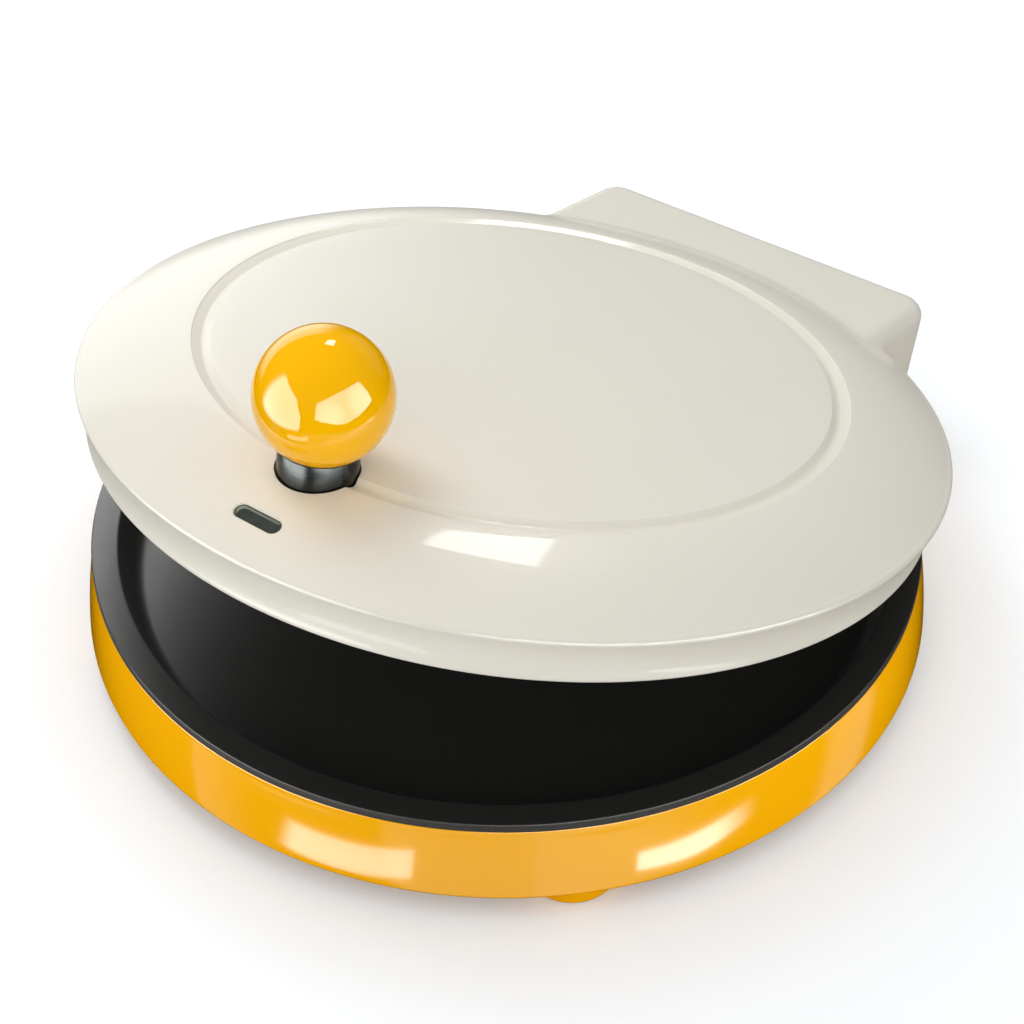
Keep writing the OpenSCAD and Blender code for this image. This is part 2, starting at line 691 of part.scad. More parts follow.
module upper_plate() color("dimgray") opened() difference() {
    mouth_r = upper_face_r + plate_draft;
    revolve() polygon(concat(
        [[0, face_z], [upper_face_r - 4, face_z]],
        corner([upper_face_r - 4, face_z], [upper_face_r, face_z], [upper_face_r + 1.2, face_z - 3]),
        corner([mouth_r - 1, plate_flange_z + 2], [mouth_r, plate_flange_z],
               [mouth_r + 2, plate_flange_z], 3),
        [[upper_flange_r, plate_flange_z], [upper_flange_r, plate_flange_z + plate_flange_t]],
        [[mouth_r + plate_t, plate_flange_z + plate_flange_t], [upper_face_r + plate_t, face_z]],
        [[upper_face_r, plate_top_z], [0, plate_top_z]]));
    ring_of(plate_screw_count, plate_screw_pcd_r) {
        cylinder(r = screw_r + screw_slip, h = far / 2, $fn = 32);
        translate([0, 0, plate_flange_z - eps])
            cylinder(r1 = screw_head_r, r2 = screw_r + screw_slip, h = 1.5, $fn = 48);
    }
    ring_of(4, element_loop_r - clip_screw_in, 45) translate([0, 0, plate_top_z - clip_hole_depth])
        cylinder(r = screw_r + thread_slip, h = 5, $fn = 32);
}

module plate_screws() color("silver") opened()
    ring_of(plate_screw_count, plate_screw_pcd_r) translate([0, 0, plate_flange_z]) {
        cylinder(r = screw_r, h = ledge_ring_z + inner_ring_t + 9 - plate_flange_z, $fn = 32);
        cylinder(r1 = screw_head_r - 0.1, r2 = screw_r, h = 1.4, $fn = 48);
    }

module upper_element() opened() element(plate_top_z + element_r + slip / 2);

module upper_element_clips() color("lightgray") opened()
    for (a = [45:90:315]) rotate(a) translate([0, 0, plate_top_z]) mirror([0, 0, 1]) element_clip();

module upper_clip_screws() color("silver") opened()
    ring_of(4, element_loop_r - clip_screw_in, 45) translate([0, 0, plate_top_z + clip_t])
        mirror([0, 0, 1]) screw(clip_screw_l, head_h = clip_head_h);

module upper_reflector() color("lightgray") opened() {
    top_z = upper_reflector_z;
    flat_r = element_loop_r + 8;
    foot_w = 6;
    foot_in = flat_r + 10;
    foot_out = foot_in + foot_w;
    difference() {
        revolve() polygon([
            [0, top_z], [flat_r, top_z], [foot_in, plate_top_z], [foot_out, plate_top_z],
            [foot_out, plate_top_z + reflector_t], [foot_in + 0.6, plate_top_z + reflector_t],
            [flat_r + 0.6, top_z + reflector_t], [0, top_z + reflector_t]]);
        translate([-element_slot_w / 2, element_loop_r + 4, 0]) cube([element_slot_w, far, far]);
    }
}

module insulation_pad() color("lightyellow") opened()
    translate([0, 0, insulation_z]) cylinder(r = element_loop_r - 8, h = insulation_t);

module upper_fuse() color("white") opened() {
    r = 2.6;
    translate([-14, -22, plate_top_z + r]) rotate([0, 90, 0]) cylinder(r = r, h = 28, $fn = 48);
}

// ---------- Knob ----------

module ball_cut(gap) translate([0, 0, ball_z]) sphere(r = ball_r + gap);

module knob_ball() color("orange") opened() translate([0, -knob_y, 0]) difference() {
    ball_cut(0);
    translate([0, 0, ball_z - ball_r - 1]) cylinder(r = insert_r + seat_r, h = insert_l + 1.6);
}

module knob_insert() color("goldenrod") opened()
    translate([0, -knob_y, ball_z - ball_r + 0.4]) difference() {
        cylinder(r = insert_r, h = insert_l);
        translate([0, 0, -eps]) cylinder(r = knob_screw_r + thread_slip, h = insert_l - 1, $fn = 48);
    }

module knob_collar() color("darkslategray") opened() translate([0, -knob_y, 0]) difference() {
    translate([0, 0, pocket_z]) cylinder(r = collar_r, h = ball_z - pocket_z - ball_r * 0.79);
    ball_cut(seat_r);
    cylinder(r = knob_screw_r + screw_slip, h = far / 4, $fn = 32);
}

module knob_screw() color("silver") opened() {
    seat_z = pocket_z - knob_floor_t - knob_washer_t;
    translate([0, -knob_y, seat_z]) screw(ball_z - ball_r + insert_l - 1.5 - seat_z, knob_screw_r, 4.6, 3);
}

module knob_washer() color("silver") opened()
    translate([0, -knob_y, pocket_z - knob_floor_t - knob_washer_t]) difference() {
        cylinder(r = knob_washer_r, h = knob_washer_t, $fn = 64);
        translate([0, 0, -1]) cylinder(r = knob_screw_r + screw_slip, h = 4, $fn = 32);
    }

// ---------- Indicator ----------

module indicator_lens() color("slategray") opened() lens_place() {
    inner = lid_wall + lens_slip;
    translate([0, 0, -inner]) obround(lens_l - slip, lens_w - slip, inner - lens_sunk);
    translate([0, 0, -inner - lens_flange_t])
        obround(lens_l + 2 * lens_flange, lens_w + 2 * lens_flange, lens_flange_t);
}

module indicator_lamp() color("salmon") opened() lens_place()
    translate([-lens_l / 2 + 2, 0, -lid_wall - lens_slip - 1.65 - lens_flange_t - lamp_r]) rotate([0, 90, 0])
        cylinder(r = lamp_r, h = lens_l - 4, $fn = 48);

module lamp_holder() color("white") opened() lens_place() {
    top = -lid_wall - lens_slip - lens_flange_t;
    wide = 2 * lamp_r + 4;
    deep = 2 * lamp_r + 3.5;
    difference() {
        translate([-lens_l / 2, -wide / 2, top - deep]) cube([lens_l, wide, deep]);
        translate([-lens_l / 2 - 1, 0, top - lamp_r - 1.65]) rotate([0, 90, 0])
            cylinder(r = lamp_r + seat_r, h = lens_l + 2, $fn = 48);
        translate([-lens_l / 2 - 1, -lamp_r - seat_r, top - lamp_r - 1.65])
            cube([lens_l + 2, 2 * (lamp_r + seat_r), far]);
    }
}

// ---------- Hinge ----------

module cheek(x) {
    translate([x, 0, 0]) {
        translate([0, hinge_y, hinge_z]) rotate([0, 90, 0]) cylinder(r = cheek_r, h = bracket_t);
        translate([0, hinge_y - cheek_r, hinge_z])
            cube([bracket_t, 2 * cheek_r, bracket_z - hinge_z + bracket_t]);
    }
}

module hinge_bracket() color("silver") difference() {
    union() {
        cheek(cheek_in_x - bracket_t);
        cheek(cheek_out_x);
        translate([cheek_in_x - bracket_t, hinge_y - cheek_r, bracket_z])
            cube([cheek_out_x - cheek_in_x + 2 * bracket_t, 2 * cheek_r, bracket_t]);
    }
    along_x(0, far / 4, hinge_y, hinge_z, pin_r + thread_slip);
    for (s = [-1, 1]) translate([lug_x + s * bracket_screw_dx, hinge_y, 0])
        cylinder(r = screw_r + screw_slip, h = far / 4, $fn = 32);
}

module right_hinge_bracket() opened() hinge_bracket();
module left_hinge_bracket() opened() mirror([1, 0, 0]) hinge_bracket();

module bracket_screws() color("silver") opened() both_sides()
    for (s = [-1, 1]) translate([lug_x + s * bracket_screw_dx, hinge_y, bracket_z])
        screw(bracket_screw_l, head_h = clip_head_h);

module hinge_pin() color("silver") {
    head_t = 2;
    outer = cheek_out_x + bracket_t;
    along_x(cheek_in_x - bracket_t - 3, outer + eps, hinge_y, hinge_z, pin_r);
    along_x(outer, outer + head_t, hinge_y, hinge_z, pin_head_r);
}

module right_hinge_pin() opened() hinge_pin();
module left_hinge_pin() opened() mirror([1, 0, 0]) hinge_pin();

module disc_on_pin(x, t, r) difference() {
    along_x(x, x + t, hinge_y, hinge_z, r);
    along_x(x - 1, x + t + 1, hinge_y, hinge_z, pin_r + thread_slip);
}

module hinge_washers() color("white") opened() both_sides() {
    disc_on_pin(cheek_in_x + washer_gap, washer_t, washer_r);
    disc_on_pin(cheek_out_x - washer_gap - washer_t, washer_t, washer_r);
}

module pin_clips() color("silver") opened() both_sides()
    disc_on_pin(cheek_in_x - bracket_t - 1.2, 1, pin_r + 2.4);

base_shell();
bottom_cover();
foot_front_left();
foot_front_right();
foot_rear_left();
foot_rear_right();
foot_pads();
lower_pan();
lower_element();
lower_element_clips();
lower_reflector();
thermostat();
thermostat_clip();
thermal_fuse();
terminal_block();
cord_gland();
pan_screws();
cover_screws();
foot_screws();
clip_screws();
lid_shell();
lid_inner_ring();
upper_plate();
upper_element();
upper_element_clips();
upper_reflector();
insulation_pad();
upper_fuse();
upper_clip_screws();
plate_screws();
knob_ball();
knob_insert();
knob_collar();
knob_screw();
knob_washer();
indicator_lens();
indicator_lamp();
lamp_holder();
left_hinge_bracket();
right_hinge_bracket();
bracket_screws();
left_hinge_pin();
right_hinge_pin();
hinge_washers();
pin_clips();
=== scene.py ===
"""Dressed model of the electric pizza maker.

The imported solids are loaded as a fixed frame. Each part that shows gets a finely shaped piece, each
hidden solid gets its finish, and a plain pale studio lights the result. Pieces are shaped in
millimetres with the lid shut, then brought to metres, and lid pieces are swung to the rest angle.
"""

from __future__ import annotations

import json
import logging
import math
from dataclasses import dataclass, field
from enum import Enum
from typing import Any, Callable, Sequence

import bpy
import numpy as np
from mathutils import Matrix, Vector

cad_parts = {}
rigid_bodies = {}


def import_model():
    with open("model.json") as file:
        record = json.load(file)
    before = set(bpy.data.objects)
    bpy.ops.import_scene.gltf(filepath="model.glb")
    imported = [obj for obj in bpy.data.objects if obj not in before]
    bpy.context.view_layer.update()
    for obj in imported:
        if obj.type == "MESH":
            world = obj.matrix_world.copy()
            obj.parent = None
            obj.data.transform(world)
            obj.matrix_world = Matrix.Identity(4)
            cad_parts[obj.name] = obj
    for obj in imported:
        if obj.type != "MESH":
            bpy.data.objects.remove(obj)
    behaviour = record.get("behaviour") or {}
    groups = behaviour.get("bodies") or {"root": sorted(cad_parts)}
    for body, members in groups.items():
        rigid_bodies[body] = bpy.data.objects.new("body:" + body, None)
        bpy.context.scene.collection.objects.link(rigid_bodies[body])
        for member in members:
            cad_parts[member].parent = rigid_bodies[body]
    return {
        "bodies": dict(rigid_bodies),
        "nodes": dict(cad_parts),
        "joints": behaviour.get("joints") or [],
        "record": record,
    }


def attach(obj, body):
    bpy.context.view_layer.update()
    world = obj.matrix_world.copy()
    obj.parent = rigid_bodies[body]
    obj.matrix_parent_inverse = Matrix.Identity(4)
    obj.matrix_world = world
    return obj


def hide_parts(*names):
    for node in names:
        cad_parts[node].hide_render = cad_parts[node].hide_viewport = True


LOG = logging.getLogger("pizza_maker")

Point = tuple[float, float]
Place = tuple[float, float, float]
Colour = tuple[float, float, float]

METRE = 0.001  # one millimetre, in metres
WELD = 1e-3  # doubles closer than this, in millimetres, are one vertex
TOUCH = 1e-3  # slack, in millimetres, when an edge is picked by its place
TURN_STEPS = 240  # steps round a large turned piece
EASE_ANGLE = math.radians(40)  # edges sharper than this are eased
WHITE = (1.0, 1.0, 1.0)
MIRROR = Matrix.Scale(-1, 4, (1, 0, 0))  # left for right
SIDEWAYS = Matrix.Rotation(math.pi / 2, 4, "Y")  # from upright to lying along X


class Body(Enum):
    """The two rigid bodies of the model."""

    BASE = "base"
    LID = "lid"


class Slot(Enum):
    """Material slots of the record."""

    YELLOW = "yellow_plastic"
    BALL = "yellow_ball"
    CREAM = "cream_plastic"
    BLACK = "black_plastic"
    NONSTICK = "nonstick"
    GUNMETAL = "gunmetal"
    STEEL = "steel"
    ELEMENT = "element_steel"
    SHEET = "reflector_sheet"
    RUBBER = "rubber"
    BRASS = "brass"
    CERAMIC = "ceramic"
    PHENOLIC = "brown_plastic"
    LENS = "smoke_lens"
    LAMP = "lamp_glass"
    NYLON = "white_plastic"
    WOOL = "mineral_wool"


class Cut(Enum):
    """What a boolean does with its tool."""

    REMOVE = "DIFFERENCE"
    ADD = "UNION"


# ---------------------------------------------------------------- shader writing


class Level:
    """A number socket that can be used in written-out arithmetic."""

    def __init__(self, tree: bpy.types.NodeTree, socket: bpy.types.NodeSocket) -> None:
        """Wraps a socket.

        Args:
            tree: The node tree that the socket is in.
            socket: An output socket that carries a number.
        """
        self.tree = tree
        self.socket = socket

    def _join(self, operation: str, first: Any, second: Any) -> Level:
        """Adds one Math node.

        Args:
            operation: The node's operation.
            first: A Level or a number.
            second: A Level or a number.

        Returns:
            The node's result.
        """
        node = self.tree.nodes.new("ShaderNodeMath")
        node.operation = operation
        for socket, value in zip(node.inputs, (first, second)):
            if isinstance(value, Level):
                self.tree.links.new(value.socket, socket)
            else:
                socket.default_value = value
        return Level(self.tree, node.outputs[0])

    def __add__(self, other: Any) -> Level:
        """The sum."""
        return self._join("ADD", self, other)

    def __radd__(self, other: Any) -> Level:
        """The sum, with a number first."""
        return self._join("ADD", other, self)

    def __sub__(self, other: Any) -> Level:
        """The difference."""
        return self._join("SUBTRACT", self, other)

    def __rsub__(self, other: Any) -> Level:
        """The difference, with a number first."""
        return self._join("SUBTRACT", other, self)

    def __mul__(self, other: Any) -> Level:
        """The product."""
        return self._join("MULTIPLY", self, other)

    def __rmul__(self, other: Any) -> Level:
        """The product, with a number first."""
        return self._join("MULTIPLY", other, self)


class NodeBook:
    """Writes nodes into one tree."""

    def __init__(self, tree: bpy.types.NodeTree) -> None:
        """Empties a tree to write in.

        Args:
            tree: The tree.
        """
        self.tree = tree
        self.tree.nodes.clear()

    def node(self, kind: str, settings: dict[str, Any] | None = None,
             inputs: dict[Any, Any] | None = None) -> Any:
        """Adds a node.

        Args:
            kind: The node's type.
            settings: The node's own settings; "stops" gives a ramp's stops.
            inputs: Values or links for its sockets, by name or number.

        Returns:
            The node.
        """
        node = self.tree.nodes.new(kind)
        for key, value in (settings or {}).items():
            if key == "stops":
                stops = node.color_ramp.elements
                for index, (position, colour) in enumerate(value):
                    stop = stops[index] if index < 2 else stops.new(position)
                    stop.position, stop.color = position, (*colour, 1.0)
            else:
                setattr(node, key, value)
        for key, value in (inputs or {}).items():
            self.feed(node.inputs[key], value)
        return node

    def feed(self, socket: bpy.types.NodeSocket, value: Any) -> None:
        """Sets or links a socket.

        Args:
            socket: The input socket.
            value: A Level, an output socket, a number or a colour.
        """
        if isinstance(value, Level):
            value = value.socket
        if isinstance(value, bpy.types.NodeSocket):
            self.tree.links.new(value, socket)
        elif socket.type == "RGBA":
            socket.default_value = (*value, 1.0)
        else:
            socket.default_value = value

    def dot(self, vector: bpy.types.NodeSocket, axis: Sequence[float]) -> Level:
        """How far a vector runs along an axis.

        Args:
            vector: The vector.
            axis: The axis.

        Returns:
            The dot product.
        """
        node = self.node(
            "ShaderNodeVectorMath", {"operation": "DOT_PRODUCT"}, {0: vector, 1: tuple(axis)})
        return Level(self.tree, node.outputs["Value"])

    def step(self, level: Level, low: float, high: float) -> Level:
        """A soft step from 0 to 1.

        Args:
            level: What the step is over.
            low: Where it starts.
            high: Where it ends.

        Returns:
            The step.
        """
        node = self.node("ShaderNodeMapRange", {"interpolation_type": "SMOOTHSTEP"}, {
            "Value": level, "From Min": low, "From Max": high})
        return Level(self.tree, node.outputs[0])

    def mixed(self, share: Any, first: bpy.types.Node, second: bpy.types.Node) -> bpy.types.Node:
        """Mixes two shaders.

        Args:
            share: How much of the second shows.
            first: The first shader's node.
            second: The second shader's node.

        Returns:
            The mix.
        """
        return self.node("ShaderNodeMixShader", inputs={
            0: share, 1: first.outputs[0], 2: second.outputs[0]})


class Recipe(NodeBook):
    """Writes the nodes of one material."""

    def __init__(self, name: str) -> None:
        """Starts a material with a Principled shader.

        Args:
            name: The material's name.
        """
        self.material = bpy.data.materials.new(name)
        self.material.use_nodes = True
        super().__init__(self.material.node_tree)
        self.shader = self.node("ShaderNodeBsdfPrincipled")
        self.output = self.node(
            "ShaderNodeOutputMaterial", inputs={"Surface": self.shader.outputs[0]})
        self.place = self.node("ShaderNodeTexCoord").outputs["Object"]

    def set(self, **values: Any) -> None:
        """Sets the Principled shader's sockets; an underscore in a name stands for a space."""
        for key, value in values.items():
            self.feed(self.shader.inputs[key.replace("_", " ")], value)

    def stretched(self, scale: Place) -> bpy.types.NodeSocket:
        """Object coordinates, scaled along each axis."""
        node = self.node("ShaderNodeMapping", inputs={"Vector": self.place, "Scale": scale})
        return node.outputs[0]

    def noise(self, scale: float, detail: float = 3.0, where: Any = None) -> Level:
        """Soft noise between 0 and 1.

        Args:
            scale: Cells per metre.
            detail: Octaves of finer noise.
            where: Coordinates; Object coordinates where left out.

        Returns:
            The noise.
        """
        node = self.node("ShaderNodeTexNoise", inputs={
            "Vector": where or self.place, "Scale": scale, "Detail": detail, "Roughness": 0.55})
        return Level(self.tree, node.outputs["Fac"])

    def ramp(self, level: Level, stops: Sequence[tuple[float, Colour]]) -> bpy.types.NodeSocket:
        """A colour ramp over a level.

        Args:
            level: What drives the ramp.
            stops: Positions and colours.

        Returns:
            The ramp's colour.
        """
        return self.node("ShaderNodeValToRGB", {"stops": stops}, {"Fac": level}).outputs[0]

    def bump(self, height: Level, depth_mm: float, strength: float) -> None:
        """Feeds a bump to the shader.

        Args:
            height: The relief between 0 and 1.
            depth_mm: Its depth in millimetres.
            strength: How strongly it shows.
        """
        node = self.node("ShaderNodeBump", inputs={
            "Height": height, "Distance": depth_mm * METRE, "Strength": strength})
        self.set(Normal=node.outputs[0])


@dataclass(frozen=True)
class Moulded:
    """Moulded plastic: an even colour with faint mottling, and a skin between satin and gloss.

    Attributes:
        slot: The record's slot.
        colour: Linear base colour.
        roughness: Mean roughness.
        coat: Weight of the clear gloss on top.
        coat_roughness: Roughness of that gloss.
        grain_mm: Depth of the surface's fine grain.
        grain_scale: Cells of grain per metre.
        gloss: Specular level under the coat.
    """

    slot: Slot
    colour: Colour
    roughness: float = 0.3
    coat: float = 0.0
    coat_roughness: float = 0.05
    grain_mm: float = 0.01
    grain_scale: float = 900.0
    gloss: float = 0.5

    def make(self) -> bpy.types.Material:
        """Writes the finish as nodes.

        Returns:
            The material.
        """
        recipe = Recipe(self.slot.value)
        cloud = recipe.noise(9.0, 2.0)
        light = tuple(min(1.0, c * 1.015) for c in self.colour)
        dark = tuple(c * 0.985 for c in self.colour)
        recipe.set(Base_Color=recipe.ramp(cloud, [(0.3, dark), (0.7, light)]))
        recipe.set(Roughness=self.roughness + (recipe.noise(60.0) - 0.5) * (0.16 * self.roughness))
        recipe.set(Coat_Weight=self.coat, Coat_Roughness=self.coat_roughness)
        recipe.set(IOR=1.49, Specular_IOR_Level=self.gloss)
        recipe.bump(recipe.noise(self.grain_scale, 2.0), self.grain_mm, 0.5)
        return recipe.material


@dataclass(frozen=True)
class CoatedCasting:
    """Cast aluminium under a black non-stick coat, with a fine pebbled skin and pale flecks.

    Attributes:
        slot: The record's slot.
        colour: Linear base colour.
        roughness: Mean roughness.
    """

    slot: Slot
    colour: Colour
    roughness: float = 0.42

    def make(self) -> bpy.types.Material:
        """Writes the finish as nodes.

        Returns:
            The material.
        """
        recipe = Recipe(self.slot.value)
        fleck = recipe.noise(1500.0, 1.0)
        bright = tuple(c * 2.2 + 0.012 for c in self.colour)
        recipe.set(Base_Color=recipe.ramp(
            fleck, [(0.0, self.colour), (0.66, self.colour), (0.76, bright)]))
        recipe.set(Roughness=self.roughness + (recipe.noise(140.0) - 0.5) * 0.1)
        recipe.set(Specular_IOR_Level=0.25)
        recipe.bump(recipe.noise(2600.0, 2.0), 0.02, 0.5)
        return recipe.material


@dataclass(frozen=True)
class Metal:
    """Bare or darkened metal with fine drawn lines.

    Attributes:
        slot: The record's slot.
        colour: Linear base colour.
        roughness: Mean roughness.
        lines: Scale of the drawn lines along each axis.
        stain: Colour that clouds the metal, where it has been hot.
    """

    slot: Slot
    colour: Colour
    roughness: float = 0.28
    lines: Place = (40.0, 40.0, 2200.0)
    stain: Colour | None = None

    def make(self) -> bpy.types.Material:
        """Writes the finish as nodes.

        Returns:
            The material.
        """
        recipe = Recipe(self.slot.value)
        drawn = recipe.noise(1.0, 2.0, recipe.stretched(self.lines))
        other = self.stain or tuple(c * 0.8 for c in self.colour)
        cloud = recipe.noise(70.0, 3.0)
        recipe.set(Base_Color=recipe.ramp(cloud, [(0.35, other), (0.65, self.colour)]))
        recipe.set(Metallic=1.0, Roughness=self.roughness + (drawn - 0.5) * 0.16)
        recipe.bump(drawn, 0.006, 0.4)
        return recipe.material


@dataclass(frozen=True)
class Plain:
    """Rubber, ceramic, fibre and the like: matt, with a grain of its own.

    Attributes:
        slot: The record's slot.
        colour: Linear base colour.
        roughness: Mean roughness.
        grain_mm: Depth of the grain.
        grain_scale: Cells of grain per metre.
        mottle: How far the colour varies.
    """

    slot: Slot
    colour: Colour
    roughness: float = 0.7
    grain_mm: float = 0.05
    grain_scale: float = 700.0
    mottle: float = 0.08

    def make(self) -> bpy.types.Material:
        """Writes the finish as nodes.

        Returns:
            The material.
        """
        recipe = Recipe(self.slot.value)
        cloud = recipe.noise(self.grain_scale / 6.0, 3.0)
        light = tuple(min(1.0, c * (1 + self.mottle)) for c in self.colour)
        dark = tuple(c * (1 - self.mottle) for c in self.colour)
        recipe.set(Base_Color=recipe.ramp(cloud, [(0.3, dark), (0.7, light)]))
        recipe.set(Roughness=self.roughness + (cloud - 0.5) * 0.1)
        recipe.bump(recipe.noise(self.grain_scale, 3.0), self.grain_mm, 0.6)
        return recipe.material


@dataclass(frozen=True)
class SmokedLens:
    """Smoke-grey clear plastic with painted shade and light: dark where the window faces up over the
    lamp chamber, pale on its thin upright wall.

    Attributes:
        slot: The record's slot.
        colour: Linear colour of the window, painted dark for the shaded chamber behind it.
        wall: Linear colour of the wall round it, painted pale for the light through it.
        upward: The way that the window faces, with the lid at rest; the painted shade and light
            follow it.
    """

    slot: Slot
    colour: Colour
    wall: Colour
    upward: Place

    def make(self) -> bpy.types.Material:
        """Writes the finish as nodes.

        Returns:
            The material.
        """
        recipe = Recipe(self.slot.value)
        # painted shade and light: the colour follows the facing, dark on the window facing up, pale
        # on the upright wall
        facing = recipe.dot(recipe.node("ShaderNodeTexCoord").outputs["Normal"], self.upward)
        window = recipe.step(facing, 0.6, 0.98) + (recipe.noise(120.0, 2.0) - 0.5) * 0.1
        recipe.set(Base_Color=recipe.ramp(window, [(0.0, self.wall), (1.0, self.colour)]))
        recipe.set(Roughness=0.12 + (recipe.noise(200.0) - 0.5) * 0.04)
        recipe.set(Coat_Weight=0.6, Coat_Roughness=0.04)
        recipe.bump(recipe.noise(700.0, 2.0), 0.004, 0.4)
        return recipe.material


Finish = Moulded | CoatedCasting | Metal | Plain | SmokedLens

FINISHES: tuple[Finish, ...] = (
    Moulded(Slot.YELLOW, (0.94, 0.442, 0.001), 0.1, 0.5, 0.02, 0.001, 500.0),
    Moulded(Slot.BALL, (0.98, 0.495, 0.001), 0.06, 0.3, 0.01, 0.0005, 300.0, gloss=0.2),
    Moulded(Slot.CREAM, (0.80, 0.774, 0.685), 0.35, 0.26, 0.015, 0.001, 700.0, gloss=0.2),
    Moulded(Slot.BLACK, (0.012, 0.012, 0.012), 0.42, 0.0, 0.1, 0.05, 1100.0),
    CoatedCasting(Slot.NONSTICK, (0.020, 0.0195, 0.018)),
    Metal(Slot.GUNMETAL, (0.034, 0.037, 0.036), 0.26, (30.0, 30.0, 3500.0)),
    Metal(Slot.STEEL, (0.56, 0.56, 0.53), 0.3, (300.0, 300.0, 900.0)),
    Metal(Slot.ELEMENT, (0.3, 0.28, 0.26), 0.42, (300.0, 300.0, 500.0), (0.16, 0.12, 0.1)),
    Metal(Slot.SHEET, (0.72, 0.72, 0.7), 0.33, (900.0, 20.0, 900.0)),
    Plain(Slot.RUBBER, (0.018, 0.018, 0.018), 0.75),
    Metal(Slot.BRASS, (0.62, 0.4, 0.13), 0.25),
    Plain(Slot.CERAMIC, (0.7, 0.66, 0.56), 0.6),
    Plain(Slot.PHENOLIC, (0.05, 0.015, 0.006), 0.45),
    # the lens's window colour is painted shade and its wall colour is painted light
    SmokedLens(Slot.LENS, (0.045, 0.055, 0.05), (0.42, 0.44, 0.38), (0.0, -0.170, 0.985)),
    Plain(Slot.LAMP, (0.8, 0.3, 0.16), 0.15, 0.01),
    Plain(Slot.NYLON, (0.7, 0.7, 0.66), 0.4, 0.02),
    Plain(Slot.WOOL, (0.62, 0.55, 0.36), 0.95, 0.4, 900.0, 0.2),
)


# ---------------------------------------------------------------- hand work


